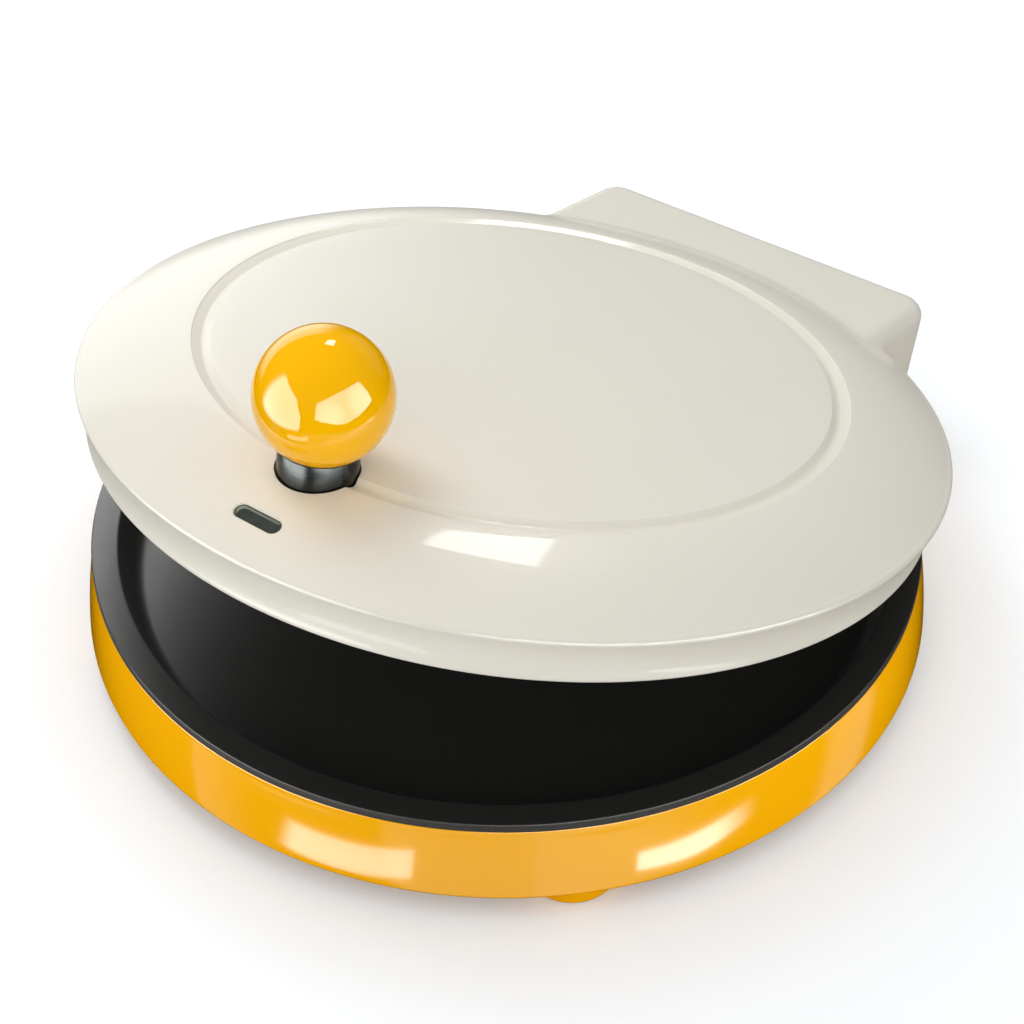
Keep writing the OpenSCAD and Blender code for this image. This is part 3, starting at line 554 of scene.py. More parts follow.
class Bench:
    """The workbench: every method drives Blender's own modelling operators on the piece in hand."""

    @staticmethod
    def clear() -> None:
        """Leaves edit mode and lets go of everything."""
        if bpy.context.object is not None and bpy.context.object.mode != "OBJECT":
            bpy.ops.object.mode_set(mode="OBJECT")
        bpy.ops.object.select_all(action="DESELECT")

    @staticmethod
    def hold(*pieces: bpy.types.Object) -> None:
        """Selects pieces.

        Args:
            pieces: The pieces; the first becomes the active one.
        """
        Bench.clear()
        for piece in pieces:
            piece.select_set(True)
        bpy.context.view_layer.objects.active = pieces[0]

    @staticmethod
    def named(name: str) -> bpy.types.Object:
        """Names the piece that was just added, and returns it."""
        bpy.context.object.name = name
        return bpy.context.object

    @staticmethod
    def let_go(mesh: bpy.types.Mesh) -> None:
        """Lets go of every face, edge and vertex of a mesh."""
        for kind in (mesh.polygons, mesh.edges, mesh.vertices):
            kind.foreach_set("select", [False] * len(kind))

    @staticmethod
    def closed_up() -> None:
        """Merges the doubles of the piece in edit mode, turns its faces outwards and leaves."""
        bpy.ops.mesh.select_all(action="SELECT")
        bpy.ops.mesh.remove_doubles(threshold=WELD)
        bpy.ops.mesh.dissolve_degenerate(threshold=WELD / 2)
        bpy.ops.mesh.normals_make_consistent(inside=False)
        bpy.ops.object.mode_set(mode="OBJECT")

    @staticmethod
    def applied(piece: bpy.types.Object) -> bpy.types.Object:
        """Applies a piece's place, turn and scale to its mesh, and returns it."""
        bpy.ops.object.transform_apply(location=True, rotation=True, scale=True)
        return piece

    @staticmethod
    def turned(name: str, outline: Sequence[Point], steps: int = TURN_STEPS) -> bpy.types.Object:
        """Draws a closed half section by extruding a vertex, and spins it about Z.

        Args:
            name: The piece's name.
            outline: Radius and height of each corner.
            steps: Steps round the spin.

        Returns:
            The turned piece.
        """
        Bench.clear()
        bpy.ops.mesh.primitive_plane_add(size=1.0, location=(0.0, 0.0, 0.0))
        piece = Bench.named(name)
        bpy.ops.object.mode_set(mode="EDIT")
        bpy.ops.mesh.select_all(action="SELECT")
        bpy.ops.mesh.merge(type="CENTER")
        bpy.ops.mesh.select_mode(type="VERT")
        bpy.ops.mesh.select_all(action="SELECT")
        path = [(r, 0.0, z) for r, z in outline]
        if path[0] != path[-1]:
            path.append(path[0])
        bpy.ops.transform.translate(value=path[0])
        for start, end in zip(path, path[1:]):
            step = tuple(e - s for s, e in zip(start, end))
            bpy.ops.mesh.extrude_vertices_move(TRANSFORM_OT_translate={"value": step})
        bpy.ops.mesh.select_all(action="SELECT")
        bpy.ops.mesh.spin(
            steps=steps, angle=math.tau, center=(0.0, 0.0, 0.0), axis=(0.0, 0.0, 1.0))
        Bench.closed_up()
        return piece

    @staticmethod
    def block(name: str, low: Place, high: Place) -> bpy.types.Object:
        """Adds a box between two corners.

        Args:
            name: The piece's name.
            low: Its lowest corner.
            high: Its highest corner.

        Returns:
            The box, with its size in its mesh.
        """
        Bench.clear()
        middle = tuple((a + b) / 2 for a, b in zip(low, high))
        bpy.ops.mesh.primitive_cube_add(size=1.0, location=middle)
        piece = Bench.named(name)
        piece.scale = tuple(b - a for a, b in zip(low, high))
        return Bench.applied(piece)

    @staticmethod
    def rod(name: str, radius: float, low: float, high: float, sides: int) -> bpy.types.Object:
        """Adds an upright round rod.

        Args:
            name: The piece's name.
            radius: Its radius.
            low: Height of its lower end.
            high: Height of its upper end.
            sides: Sides of the round.

        Returns:
            The rod.
        """
        Bench.clear()
        bpy.ops.mesh.primitive_cylinder_add(
            vertices=sides, radius=radius, depth=high - low, location=(0.0, 0.0, (low + high) / 2))
        return Bench.applied(Bench.named(name))

    @staticmethod
    def moved(piece: bpy.types.Object, matrix: Matrix) -> bpy.types.Object:
        """Moves a piece and applies the move to its mesh.

        Args:
            piece: The piece.
            matrix: The move.

        Returns:
            The same piece.
        """
        Bench.hold(piece)
        piece.matrix_world = matrix
        return Bench.applied(piece)

    @staticmethod
    def twin(piece: bpy.types.Object) -> bpy.types.Object:
        """Copies a piece, with a mesh of its own.

        Args:
            piece: The piece.

        Returns:
            The copy.
        """
        copy = piece.copy()
        copy.data = piece.data.copy()
        bpy.context.scene.collection.objects.link(copy)
        return copy

    @staticmethod
    def mirrored(piece: bpy.types.Object) -> bpy.types.Object:
        """Swaps a piece's left and right, and returns it."""
        return Bench.outward(Bench.moved(piece, MIRROR))

    @staticmethod
    def joined(*pieces: bpy.types.Object) -> bpy.types.Object:
        """Joins pieces into the first of them.

        Args:
            pieces: The pieces.

        Returns:
            The first piece, with the others in it.
        """
        Bench.hold(*pieces)
        if len(pieces) > 1:
            bpy.ops.object.join()
        return pieces[0]

    @staticmethod
    def copies(piece: bpy.types.Object, places: Sequence[Matrix]) -> bpy.types.Object:
        """Repeats a piece at several places and joins the copies.

        Args:
            piece: The piece to repeat.
            places: A move for each copy.

        Returns:
            The joined copies.
        """
        made = Bench.joined(*[Bench.moved(Bench.twin(piece), place) for place in places])
        name = piece.name
        bpy.data.objects.remove(piece)
        made.name = name
        return made

    @staticmethod
    def cut(piece: bpy.types.Object, tool: bpy.types.Object,
            how: Cut = Cut.REMOVE) -> bpy.types.Object:
        """Cuts a piece with a tool, or adds the tool to it, and throws the tool away.

        Args:
            piece: The piece.
            tool: The tool.
            how: Whether the tool is taken away or added.

        Returns:
            The same piece.
        """
        Bench.hold(piece)
        modifier = piece.modifiers.new("cut", "BOOLEAN")
        modifier.operation = how.value
        modifier.solver = "EXACT"
        modifier.object = tool
        bpy.ops.object.modifier_apply(modifier=modifier.name)
        bpy.data.objects.remove(tool)
        return piece

    @staticmethod
    def eased(piece: bpy.types.Object, width: float, segments: int) -> bpy.types.Object:
        """Rounds the sharp edges of a piece.

        Args:
            piece: The piece.
            width: Width of the rounding.
            segments: Steps across it.

        Returns:
            The same piece.
        """
        Bench.hold(piece)
        modifier = piece.modifiers.new("ease", "BEVEL")
        modifier.width, modifier.segments = width, segments
        modifier.limit_method, modifier.angle_limit = "ANGLE", EASE_ANGLE
        modifier.use_clamp_overlap = True
        bpy.ops.object.modifier_apply(modifier=modifier.name)
        return piece

    @staticmethod
    def bevel_edges(piece: bpy.types.Object, wanted: Callable[[Vector, Vector], bool],
                    width: float, segments: int) -> None:
        """Rounds chosen edges by hand.

        Args:
            piece: The piece.
            wanted: Says of an edge's two ends whether it is rounded.
            width: Width of the rounding.
            segments: Steps across it.
        """
        Bench.hold(piece)
        Bench.let_go(piece.data)
        for edge in piece.data.edges:
            edge.select = wanted(*(piece.data.vertices[i].co for i in edge.vertices))
        bpy.context.tool_settings.mesh_select_mode = (False, True, False)
        bpy.ops.object.mode_set(mode="EDIT")
        bpy.ops.mesh.bevel(offset=width, segments=segments, affect="EDGES", clamp_overlap=True)
        bpy.ops.object.mode_set(mode="OBJECT")

    @staticmethod
    def outward(piece: bpy.types.Object) -> bpy.types.Object:
        """Turns every face of a piece outwards.

        Args:
            piece: The piece.

        Returns:
            The same piece.
        """
        Bench.hold(piece)
        bpy.ops.object.mode_set(mode="EDIT")
        bpy.ops.mesh.select_all(action="SELECT")
        bpy.ops.mesh.normals_make_consistent(inside=False)
        bpy.ops.object.mode_set(mode="OBJECT")
        return piece


def fillet(before: Point, corner: Point, after: Point, radius: float, steps: int) -> list[Point]:
    """Rounds a corner of an outline with a true arc.

    Args:
        before: A point on the way in.
        corner: The corner.
        after: A point on the way out.
        radius: The arc's radius.
        steps: Steps along the arc.

    Returns:
        The points of the arc.
    """
    p, q, r = (np.array(v, float) for v in (before, corner, after))
    u, v = (p - q) / np.linalg.norm(p - q), (r - q) / np.linalg.norm(r - q)
    half = math.acos(max(-1.0, min(1.0, float(u @ v)))) / 2
    reach = min(radius / math.tan(half), float(np.linalg.norm(p - q)), float(np.linalg.norm(r - q)))
    radius = reach * math.tan(half)
    middle = q + (u + v) / np.linalg.norm(u + v) * radius / math.sin(half)
    start, end = q + u * reach, q + v * reach
    a0 = math.atan2(*(start - middle)[::-1])
    turn = (math.atan2(*(end - middle)[::-1]) - a0 + math.pi) % (2 * math.pi) - math.pi
    return [(float(middle[0] + radius * math.cos(a0 + turn * i / steps)),
             float(middle[1] + radius * math.sin(a0 + turn * i / steps))) for i in range(steps + 1)]


def rounded(corners: Sequence[tuple[float, ...]], steps: int) -> list[Point]:
    """Rounds the corners of a closed outline.

    Args:
        corners: Radius, height and, where the corner is rounded, the rounding's radius.
        steps: Steps along each arc.

    Returns:
        The outline.
    """
    made: list[Point] = []
    for index, corner in enumerate(corners):
        if len(corner) == 2:
            made.append(corner)
            continue
        before, after = corners[index - 1], corners[(index + 1) % len(corners)]
        made += fillet(before[:2], corner[:2], after[:2], corner[2], steps)
    return made


def bowed(start: Point, end: Point, rise: float, steps: int) -> list[Point]:
    """Points from start to end on a shallow parabola.

    Args:
        start: First point.
        end: Last point.
        rise: Height of the bow to the left of the way.
        steps: Steps along it.

    Returns:
        The points.
    """
    dx, dz = end[0] - start[0], end[1] - start[1]
    length = math.hypot(dx, dz)
    return [(start[0] + dx * t - dz / length * 4 * rise * t * (1 - t),
             start[1] + dz * t + dx / length * 4 * rise * t * (1 - t))
            for t in (i / steps for i in range(steps + 1))]


def about_z(angle: float, radius: float = 0.0, height: float = 0.0) -> Matrix:
    """A place on a circle about the Z axis.

    Args:
        angle: Angle round the circle, in degrees.
        radius: Radius of the circle.
        height: Height above the floor.

    Returns:
        The move that puts a piece there, turned with the circle.
    """
    return Matrix.Rotation(math.radians(angle), 4, "Z") @ Matrix.Translation((radius, 0.0, height))


# ---------------------------------------------------------------- what several parts share


@dataclass(frozen=True)
class Datum:
    """Sizes that several sub-assemblies share, in millimetres, with the lid shut.

    Attributes:
        base_r: Radius of the base at the seam.
        base_flare: How much wider the base is at its lower edge.
        base_bottom: Height of the base's lower edge.
        seam: Height of the seam between base and pan.
        rim_top: Height of the pan's rim.
        hinge_y: Distance of the hinge line behind the middle.
        hinge_z: Height of the hinge line.
        cheek_in: Distance from the middle to the lug's side of a bracket's inner cheek.
        cheek_out: The same for its outer cheek.
        bracket_z: Height of the underside of a bracket's top.
        lid_angle: How far the lid stands open at rest, in degrees.
        cord_angle: Where the cord enters, in degrees round from the right.
        post_ring: Radius of the ring of posts under the pan.
        post_r: Radius of a post.
        foot_ring: Radius of the ring of feet.
        cover_screw_ring: Radius of the ring of screws in the bottom cover.
        screw_r: Radius of a screw's shank.
        head_r: Radius of a screw's head.
    """

    base_r: float = 165.0
    base_flare: float = 5.0
    base_bottom: float = 9.0
    seam: float = 40.0
    rim_top: float = 43.9
    hinge_y: float = 175.8
    hinge_z: float = 40.5
    cheek_in: float = 35.3
    cheek_out: float = 60.7
    bracket_z: float = 56.4
    lid_angle: float = 11.9
    cord_angle: float = 130.0
    post_ring: float = 140.0
    post_r: float = 5.0
    foot_ring: float = 149.5
    cover_screw_ring: float = 125.0
    screw_r: float = 1.7
    head_r: float = 3.2

    @property
    def foot_r(self) -> float:
        """Radius of the base at its lower edge."""
        return self.base_r + self.base_flare

    @property
    def post_tip(self) -> float:
        """Height at which the base's posts meet the pan's posts."""
        return self.base_bottom + 2.6 + 4.0

    @property
    def post_places(self) -> list[Matrix]:
        """Where the four posts under the pan stand."""
        return [about_z(angle, self.post_ring) for angle in (0, 90, 180, 270)]

    @property
    def swing(self) -> Matrix:
        """The move from the shut lid to the lid at rest."""
        axis = Matrix.Translation((0.0, self.hinge_y, self.hinge_z))
        return axis @ Matrix.Rotation(math.radians(-self.lid_angle), 4, "X") @ axis.inverted()

    def across(self, x: float = 0.0) -> Matrix:
        """A place on the hinge line, turned to lie along it."""
        return Matrix.Translation((x, self.hinge_y, self.hinge_z)) @ SIDEWAYS


DATUM = Datum()


class Workshop:
    """Makes the finishes and hands finished pieces over to the frame."""

    def __init__(self, frame: dict[str, Any]) -> None:
        """Makes every finish.
        """
        self.frame = frame
        self.materials = {finish.slot: finish.make() for finish in FINISHES}

    def coat(self, piece: bpy.types.Object, slot: Slot) -> None:
        """Gives a piece the finish of a slot."""
        piece.data.materials.clear()
        piece.data.materials.append(self.materials[slot])

    def finish(self, piece: bpy.types.Object, slot: Slot, body: Body, node: str,
               smooth_angle: float = 30.0) -> None:
        """Brings a piece to metres and to its place, and gives it its finish and its body.

        Args:
            piece: The piece, in millimetres, with the lid shut.
            slot: The slot of its finish.
            body: The body that it rides on.
            node: The CAD node that it replaces.
            smooth_angle: Edges sharper than this stay sharp, in degrees.
        """
        scale = Matrix.Scale(METRE, 4)
        Bench.moved(piece, scale @ DATUM.swing if body is Body.LID else scale)
        piece.name = node + "_dress"
        self.coat(piece, slot)
        bpy.ops.object.shade_smooth_by_angle(angle=math.radians(smooth_angle))
        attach(piece, body.value)
        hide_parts(node)
        LOG.info("%s: %d faces", piece.name, len(piece.data.polygons))

    def dress_frame(self) -> None:
        """Gives every CAD node the finish of its slot."""
        rows = self.frame["record"]["subparts"]
        for row in rows:
            self.coat(self.frame["nodes"][row["node"]], Slot(row["material_slot"]))
        LOG.info("dressed %d solids", len(rows))


# ---------------------------------------------------------------- lid


def section_distance(outline: Sequence[Point], r: np.ndarray, z: np.ndarray) -> np.ndarray:
    """Signed distance of points from a closed half section.

    Args:
        outline: The section's corners.
        r: Radii of the points.
        z: Heights of the points.

    Returns:
        The distances, negative inside.
    """
    best = np.full(r.shape, 1e9)
    inside = np.zeros(r.shape, bool)
    for (r0, z0), (r1, z1) in zip(outline, [*outline[1:], outline[0]]):
        dr, dz = r1 - r0, z1 - z0
        t = np.clip(((r - r0) * dr + (z - z0) * dz) / max(dr * dr + dz * dz, 1e-12), 0.0, 1.0)
        best = np.minimum(best, np.hypot(r - r0 - dr * t, z - z0 - dz * t))
        if abs(dz) > 1e-12:
            inside ^= ((z0 > z) != (z1 > z)) & (r < r0 + dr * (z - z0) / dz)
    return np.where(inside, -best, best)


def corner_distance(across: np.ndarray, along: np.ndarray, radius: float) -> np.ndarray:
    """Signed distance from two walls that meet in a round corner.

    Args:
        across: How far points lie past the corner's middle, one way.
        along: How far they lie past it, the other way.
        radius: The corner's radius.

    Returns:
        The distances, negative inside.
    """
    outside = np.hypot(np.maximum(across, 0), np.maximum(along, 0))
    return np.minimum(np.maximum(across, along), 0.0) + outside - radius


@dataclass
class Lid:
    """The domed lid: its shell with the hinge housing, the inner ring and the upper plate.

    Attributes:
        radius: Widest radius of the rim.
        edge_z: Height of the rim's widest place.
        edge_round: Rounding where the dome passes into the rim.
        skirt_r: Radius at the foot of the skirt.
        skirt_z: Height of the foot of the skirt.
        crown_z: Height of the crown.
        ring_z: Height of the dome at the ring groove.
        ring_in: Inner radius of the ring groove.
        ring_out: Outer radius of the ring groove.
        ring_depth: Depth of the ring groove.
        wall: Wall of the lid.
        hood_half: Half width of the hinge housing.
        hood_rear: Rear face of the hinge housing.
        hood_top: Top of the hinge housing.
        hood_low: Lower edge of the hinge housing.
        hood_edge: Rounding of the housing's top edge.
        hood_post: Rounding of the housing's upright corners.
        hood_wall: Wall of the housing.
        hood_inner: Radius of the skirt's gap inside the housing.
        blend_low: Width of the crease between dome and housing, low down.
        blend_high: Its width at the housing's top.
        blend_start: How far below the top it starts to narrow.
        blend_span: Height over which it narrows.
        knob_y: Distance of the knob in front of the middle.
        pocket_z: Floor of the knob's pocket.
        pocket_r: Radius of the knob's pocket.
        lens_y: Distance of the indicator in front of the middle.
        lens_z: Height of the indicator's slot.
        lens_tilt: Slope of the dome there, in degrees.
        lens_long: Length of the slot.
        lens_wide: Width of the slot.
        slot_rim: How far the slot's eased rim is wider than the slot.
        face_z: Height of the upper plate's cooking face.
        flange_z: Height of the upper plate's flange.
        eye: Radius and height from which the skin is found, ray by ray.
        ray_reach: Length of the rays.
        hood_turn: Angle from the rear within which the housing shapes the skin, in degrees.
    """

    radius: float = 168.5
    edge_z: float = 63.1
    edge_round: float = 2.4
    skirt_r: float = 164.0
    skirt_z: float = 44.4
    crown_z: float = 80.7
    ring_z: float = 77.6
    ring_in: float = 118.6
    ring_out: float = 126.2
    ring_depth: float = 1.9
    wall: float = 3.0
    hood_half: float = 84.0
    hood_rear: float = 195.3
    hood_top: float = 69.5
    hood_low: float = 35.0
    hood_edge: float = 7.5
    hood_post: float = 11.5
    hood_wall: float = 2.5
    hood_inner: float = 167.5
    blend_low: float = 9.0
    blend_high: float = 1.7
    blend_start: float = 11.0
    blend_span: float = 9.0
    knob_y: float = 122.4
    pocket_z: float = 74.2
    pocket_r: float = 14.8
    lens_y: float = 152.5
    lens_z: float = 70.42
    lens_tilt: float = 21.7
    lens_long: float = 19.4
    lens_wide: float = 6.2
    slot_rim: float = 0.9
    face_z: float = 56.0
    flange_z: float = 46.9
    eye: Point = (150.0, 50.0)
    ray_reach: float = 75.0
    hood_turn: float = 46.0

    def crown(self) -> list[Point]:
        """The outline from the middle of the crown to the inner edge of the ring groove."""
        return bowed((0.0, self.crown_z), (self.ring_in, self.ring_z + 0.4), 0.7, 14)

    def groove(self) -> list[Point]:
        """The outline across the groove: steep inner slope, long outer slope, small crisp step.

        Returns:
            The outline, from the inside out.
        """
        top = self.ring_z
        shoulder = (self.ring_in + 0.2, top + 0.4)
        valley = (self.ring_in + 2.9, top - self.ring_depth)
        rise, lip = (self.ring_out - 0.35, top - 0.4), (self.ring_out - 0.15, top)
        return [*fillet((self.ring_in - 20, top + 1.3), shoulder, valley, 0.5, 4),
                *fillet(shoulder, valley, rise, 2.2, 6),
                rise, *fillet(rise, lip, (self.ring_out + 20, top - 4.8), 0.15, 3)]

    def dome(self) -> list[Point]:
        """The outline from the ring groove to the dome's foot."""
        return bowed((self.ring_out, self.ring_z), self.dome_foot, 1.9, 24)

    @property
    def dome_foot(self) -> Point:
        """Where the dome passes into the rim."""
        return self.radius - self.edge_round, self.edge_z + self.edge_round * 0.42

    def rim(self) -> list[Point]:
        """The outline round the rim and down the skirt.

        Returns:
            The outline, from the dome's foot down.
        """
        foot, low = self.dome_foot, (self.skirt_r, self.skirt_z)
        cove = (self.radius - 1.1, self.edge_z - self.edge_round)
        edge = (self.radius + 0.9, self.edge_z)
        turn = [tuple(a * (1 - t) ** 2 + b * 2 * t * (1 - t) + c * t * t
                      for a, b, c in zip(foot, edge, cove))
                for t in (i / 10 for i in range(1, 10))]
        skirt = bowed(cove, (low[0], low[1] + 1.2), -1.1, 12)
        return [*turn, *skirt, (low[0] - 0.1, low[1] + 0.5), (low[0] - 0.5, low[1])]

    def outer(self) -> list[Point]:
        """The closed half section that the lid's outer face bounds, without the groove."""
        return [*self.crown(), *self.dome(), *self.rim(), (0.0, self.skirt_z)]

    def skin_distance(self, x: np.ndarray, y: np.ndarray, z: np.ndarray) -> np.ndarray:
        """Signed distance from the lid's skin, with the hinge housing blended in.

        Args:
            x: Sideways places.
            y: Places towards the rear.
            z: Heights.

        Returns:
            The distances, negative inside.
        """
        lid = section_distance(self.outer(), np.hypot(x, y), z)
        plan = corner_distance(np.abs(x) - self.hood_half + self.hood_post,
                               y - self.hood_rear + self.hood_post, self.hood_post)
        plan = np.maximum(plan, self.ring_out - 20 - y)
        hood = corner_distance(
            plan + self.hood_edge, z - self.hood_top + self.hood_edge, self.hood_edge)
        share = np.clip((z - self.hood_top + self.blend_start) / self.blend_span, 0.0, 1.0)
        soft = self.blend_low - (
            self.blend_low - self.blend_high) * share * share * (3 - 2 * share)
        near = np.maximum(soft - np.abs(lid - hood), 0.0) / soft
        return np.minimum(lid, hood) - near * near * soft / 4

    def fan(self, turn: float, rays: np.ndarray, low: float) -> list[Point]:
        """Looks out from the eye in one upright plane and finds the skin along each ray.

        Args:
            turn: Angle of the plane from the rear, in degrees.
            rays: Share of the way from straight up to the lower edge, for each ray.
            low: Height of the lower edge.

        Returns:
            Radius and height where each ray meets the skin.
        """
        s, c = math.sin(math.radians(turn)), math.cos(math.radians(turn))
        eye_r, eye_z = self.eye

        def meet(ur: np.ndarray, uz: np.ndarray, z0: float) -> np.ndarray:
            """Finds how far each ray from the eye's radius runs inside the skin.

            Args:
                ur: Outward share of each ray's direction.
                uz: Its upward share.
                z0: Height that the rays start from.

            Returns:
                The rays' lengths.
            """
            near, far = np.zeros_like(ur), np.full_like(ur, self.ray_reach)
            for _ in range(26):
                mid = (near + far) / 2
                r, z = eye_r + ur * mid, z0 + uz * mid
                out = self.skin_distance(r * s, r * c, z) > 0
                near, far = np.where(out, near, mid), np.where(out, mid, far)
            return (near + far) / 2

        low_r = eye_r + float(meet(np.ones(1), np.zeros(1), low)[0])
        end = math.atan2(low - eye_z, low_r - eye_r)
        angle = math.pi / 2 + (end - math.pi / 2) * rays
        far = meet(np.cos(angle), np.sin(angle), eye_z)
        points = list(zip(eye_r + np.cos(angle) * far, eye_z + np.sin(angle) * far))
        points[-1] = (low_r, low)
        return [(float(r), float(z)) for r, z in points]

    def turns(self) -> list[float]:
        """Angles of the shell's upright sections, in degrees, close together at the housing.

        Returns:
            The angles from the rear, in order.
        """
        half = [*np.arange(0, 19, 1.0), *np.arange(19, 35, 0.2), *np.arange(35, 42, 0.5),
                *np.arange(42, 180, 1.5), 180.0]
        return sorted({round(a * side, 3) for side in (1, -1) for a in half} - {-180.0})

    def sections(self, turns: Sequence[float]) -> list[list[Point]]:
        """The outline of the shell at each angle, from the crown to the inside of the skirt.

        Args:
            turns: The angles.

        Returns:
            The outlines, all with the same number of points.
        """
        rays = np.unique(np.concatenate([
            np.linspace(0, 0.25, 14), np.linspace(0.25, 0.75, 84), np.linspace(0.75, 1, 18)]))
        inner = [*self.crown()[1:-1], *self.groove(),
                 *[p for p in self.dome() if self.ring_out + 1 < p[0] < self.eye[0] - 1.5]]
        plain = self.fan(180.0, rays, self.skirt_z)
        rows: list[list[Point]] = []
        for turn in turns:
            side = self.hood_half / math.sin(math.radians(max(abs(turn), 1e-3)))
            housed = abs(turn) < 90 and side > self.hood_inner - 1
            low = self.hood_low if housed else self.skirt_z
            skin = self.fan(turn, rays, low) if abs(turn) < self.hood_turn else plain
            edge = skin[-1][0]
            tail = [(self.hood_inner, low), (self.hood_inner, self.skirt_z)] if housed else [
                (edge - 0.01, low), (edge - 0.02, low)]
            rows.append([*inner, *skin, *tail, (self.skirt_r - self.wall - 1.0, self.skirt_z)])
        return rows

    def shell(self) -> bpy.types.Object:
        """Shapes the shell: a grid of upright sections, closed below.

        Returns:
            The shell, still solid.
        """
        turns = self.turns()
        rows = self.sections(turns)
        count = len(rows[0])
        points = [(r * math.sin(math.radians(t)), r * math.cos(math.radians(t)), z)
                  for t, row in zip(turns, rows) for r, z in row]
        top, bottom = len(points), len(points) + 1
        points += [(0.0, 0.0, self.crown_z), (0.0, 0.0, self.skirt_z)]
        faces: list[tuple[int, ...]] = []
        for i in range(len(turns)):
            a, b = i * count, (i + 1) % len(turns) * count
            faces.append((top, b, a))
            faces += [(a + j, b + j, b + j + 1, a + j + 1) for j in range(count - 1)]
            faces.append((a + count - 1, b + count - 1, bottom))
        mesh = bpy.data.meshes.new("lid_skin")
        mesh.from_pydata(points, [], faces)
        piece = bpy.data.objects.new("lid_skin", mesh)
        bpy.context.scene.collection.objects.link(piece)
        Bench.hold(piece)
        bpy.ops.object.mode_set(mode="EDIT")
        Bench.closed_up()
        return piece

    def cavity(self) -> bpy.types.Object:
        """Shapes the hollow under the dome.

        Returns:
            The tool that hollows the lid.
        """
        t, inside, low = self.wall, self.skirt_r - self.wall, self.skirt_z
        foot_r, foot_z = self.dome_foot
        return Bench.turned("cavity", [
            (0.0, self.crown_z - t), *[(r, z - t) for r, z in self.crown()[2::3]],
            (self.ring_out, self.ring_z - t), *[(r - 0.8, z - t) for r, z in self.dome()[4::5]],
            (foot_r - t, foot_z - 2.4), (self.radius - 0.6 - t, self.edge_z - 2.6),
            (self.radius - 1.6 - t, self.edge_z - 5), (inside, low + 1.2), (inside, low - 1),
            (0.0, low - 1)], 180)

    def housing_hollow(self) -> bpy.types.Object:
        """Shapes the hollow of the hinge housing, behind the dome's wall.

        Returns:
            The tool that hollows the housing.
        """
        t = self.hood_wall
        front, rear, top = self.ring_out - 8, self.hood_rear - t, self.hood_top - t
        middle = (front + rear) / 2
        block = Bench.block("hollow", (-self.hood_half + t, front, self.hood_low - 1),
                            (self.hood_half - t, rear, top))

        def is_post(a: Vector, b: Vector) -> bool:
            """Whether an edge is one of the rear upright ones."""
            return min(a.y, b.y) > middle and abs(a.z - b.z) > 1

        def is_brim(a: Vector, b: Vector) -> bool:
            """Whether an edge runs round the top, but not along the front."""
            return min(a.z, b.z) > top - TOUCH and max(a.y, b.y) > middle

        Bench.bevel_edges(block, is_post, self.hood_post - t, 5)
        Bench.bevel_edges(block, is_brim, self.hood_edge - t, 4)
        return Bench.cut(block, Bench.turned("core", self.outer(), 200))

    def slot_tool(self) -> bpy.types.Object:
        """Shapes the indicator's slot, with a small eased rim.

        Returns:
            The tool, in its place on the dome.
        """
        tool = Obround(self.lens_long, self.lens_wide).prism("slot", -8.0, 0.35)
        rim = Obround(self.lens_long, self.lens_wide).grown(self.slot_rim / 2)
        Bench.cut(tool, rim.prism("rim", -0.3, 5.0), Cut.ADD)
        return Bench.moved(tool, self.lens_place())

    def lens_place(self) -> Matrix:
        """Where the indicator sits on the dome."""
        tilt = Matrix.Rotation(math.radians(self.lens_tilt), 4, "X")
        return Matrix.Translation((0.0, -self.lens_y, self.lens_z)) @ tilt

    def build(self, shop: Workshop) -> None:
        """Builds and finishes the lid's pieces.

        Args:
            shop: The workshop.
        """
        shell = self.shell()
        Bench.cut(shell, self.cavity())
        Bench.cut(shell, self.housing_hollow())
        pocket = Bench.rod("pocket", self.pocket_r, self.pocket_z, self.pocket_z + 20, 128)
        Bench.cut(shell, Bench.moved(pocket, Matrix.Translation((0.0, -self.knob_y, 0.0))))
        Bench.cut(shell, self.slot_tool())
        for side in (-1, 1):
            pad = Bench.block("pad", (DATUM.cheek_in, 167.3, 58.4),
                              (DATUM.cheek_out, 184.3, self.hood_top - 1.2))
            Bench.eased(pad, 0.8, 2)
            if side < 0:
                Bench.mirrored(pad)
            Bench.cut(shell, pad, Cut.ADD)
        shop.finish(shell, Slot.CREAM, Body.LID, "lid_shell", 28)
        ring = Bench.turned("ring", rounded([
            (151.1, 49.4), (158.2, 49.4), (158.2, 45.2, 0.5), (160.8, 45.2, 0.5),
            (160.8, 51.4, 0.4), (151.1, 51.4)], 3))
        shop.finish(ring, Slot.BLACK, Body.LID, "lid_inner_ring")
        z, low = self.face_z, self.flange_z
        plate = Bench.turned("plate", rounded([
            (0.0, z), (143.9, z, 6.0), (147.2, low + 1.2, 1.5), (148.4, low, 0.6),
            (158.0, low, 0.5), (158.0, low + 2.4, 0.3), (151.0, low + 2.4, 1.0), (147.2, z, 2.0),
            (144.0, z + 3.0, 1.5), (0.0, z + 3.0)], 6))
        shop.finish(plate, Slot.NONSTICK, Body.LID, "upper_plate")


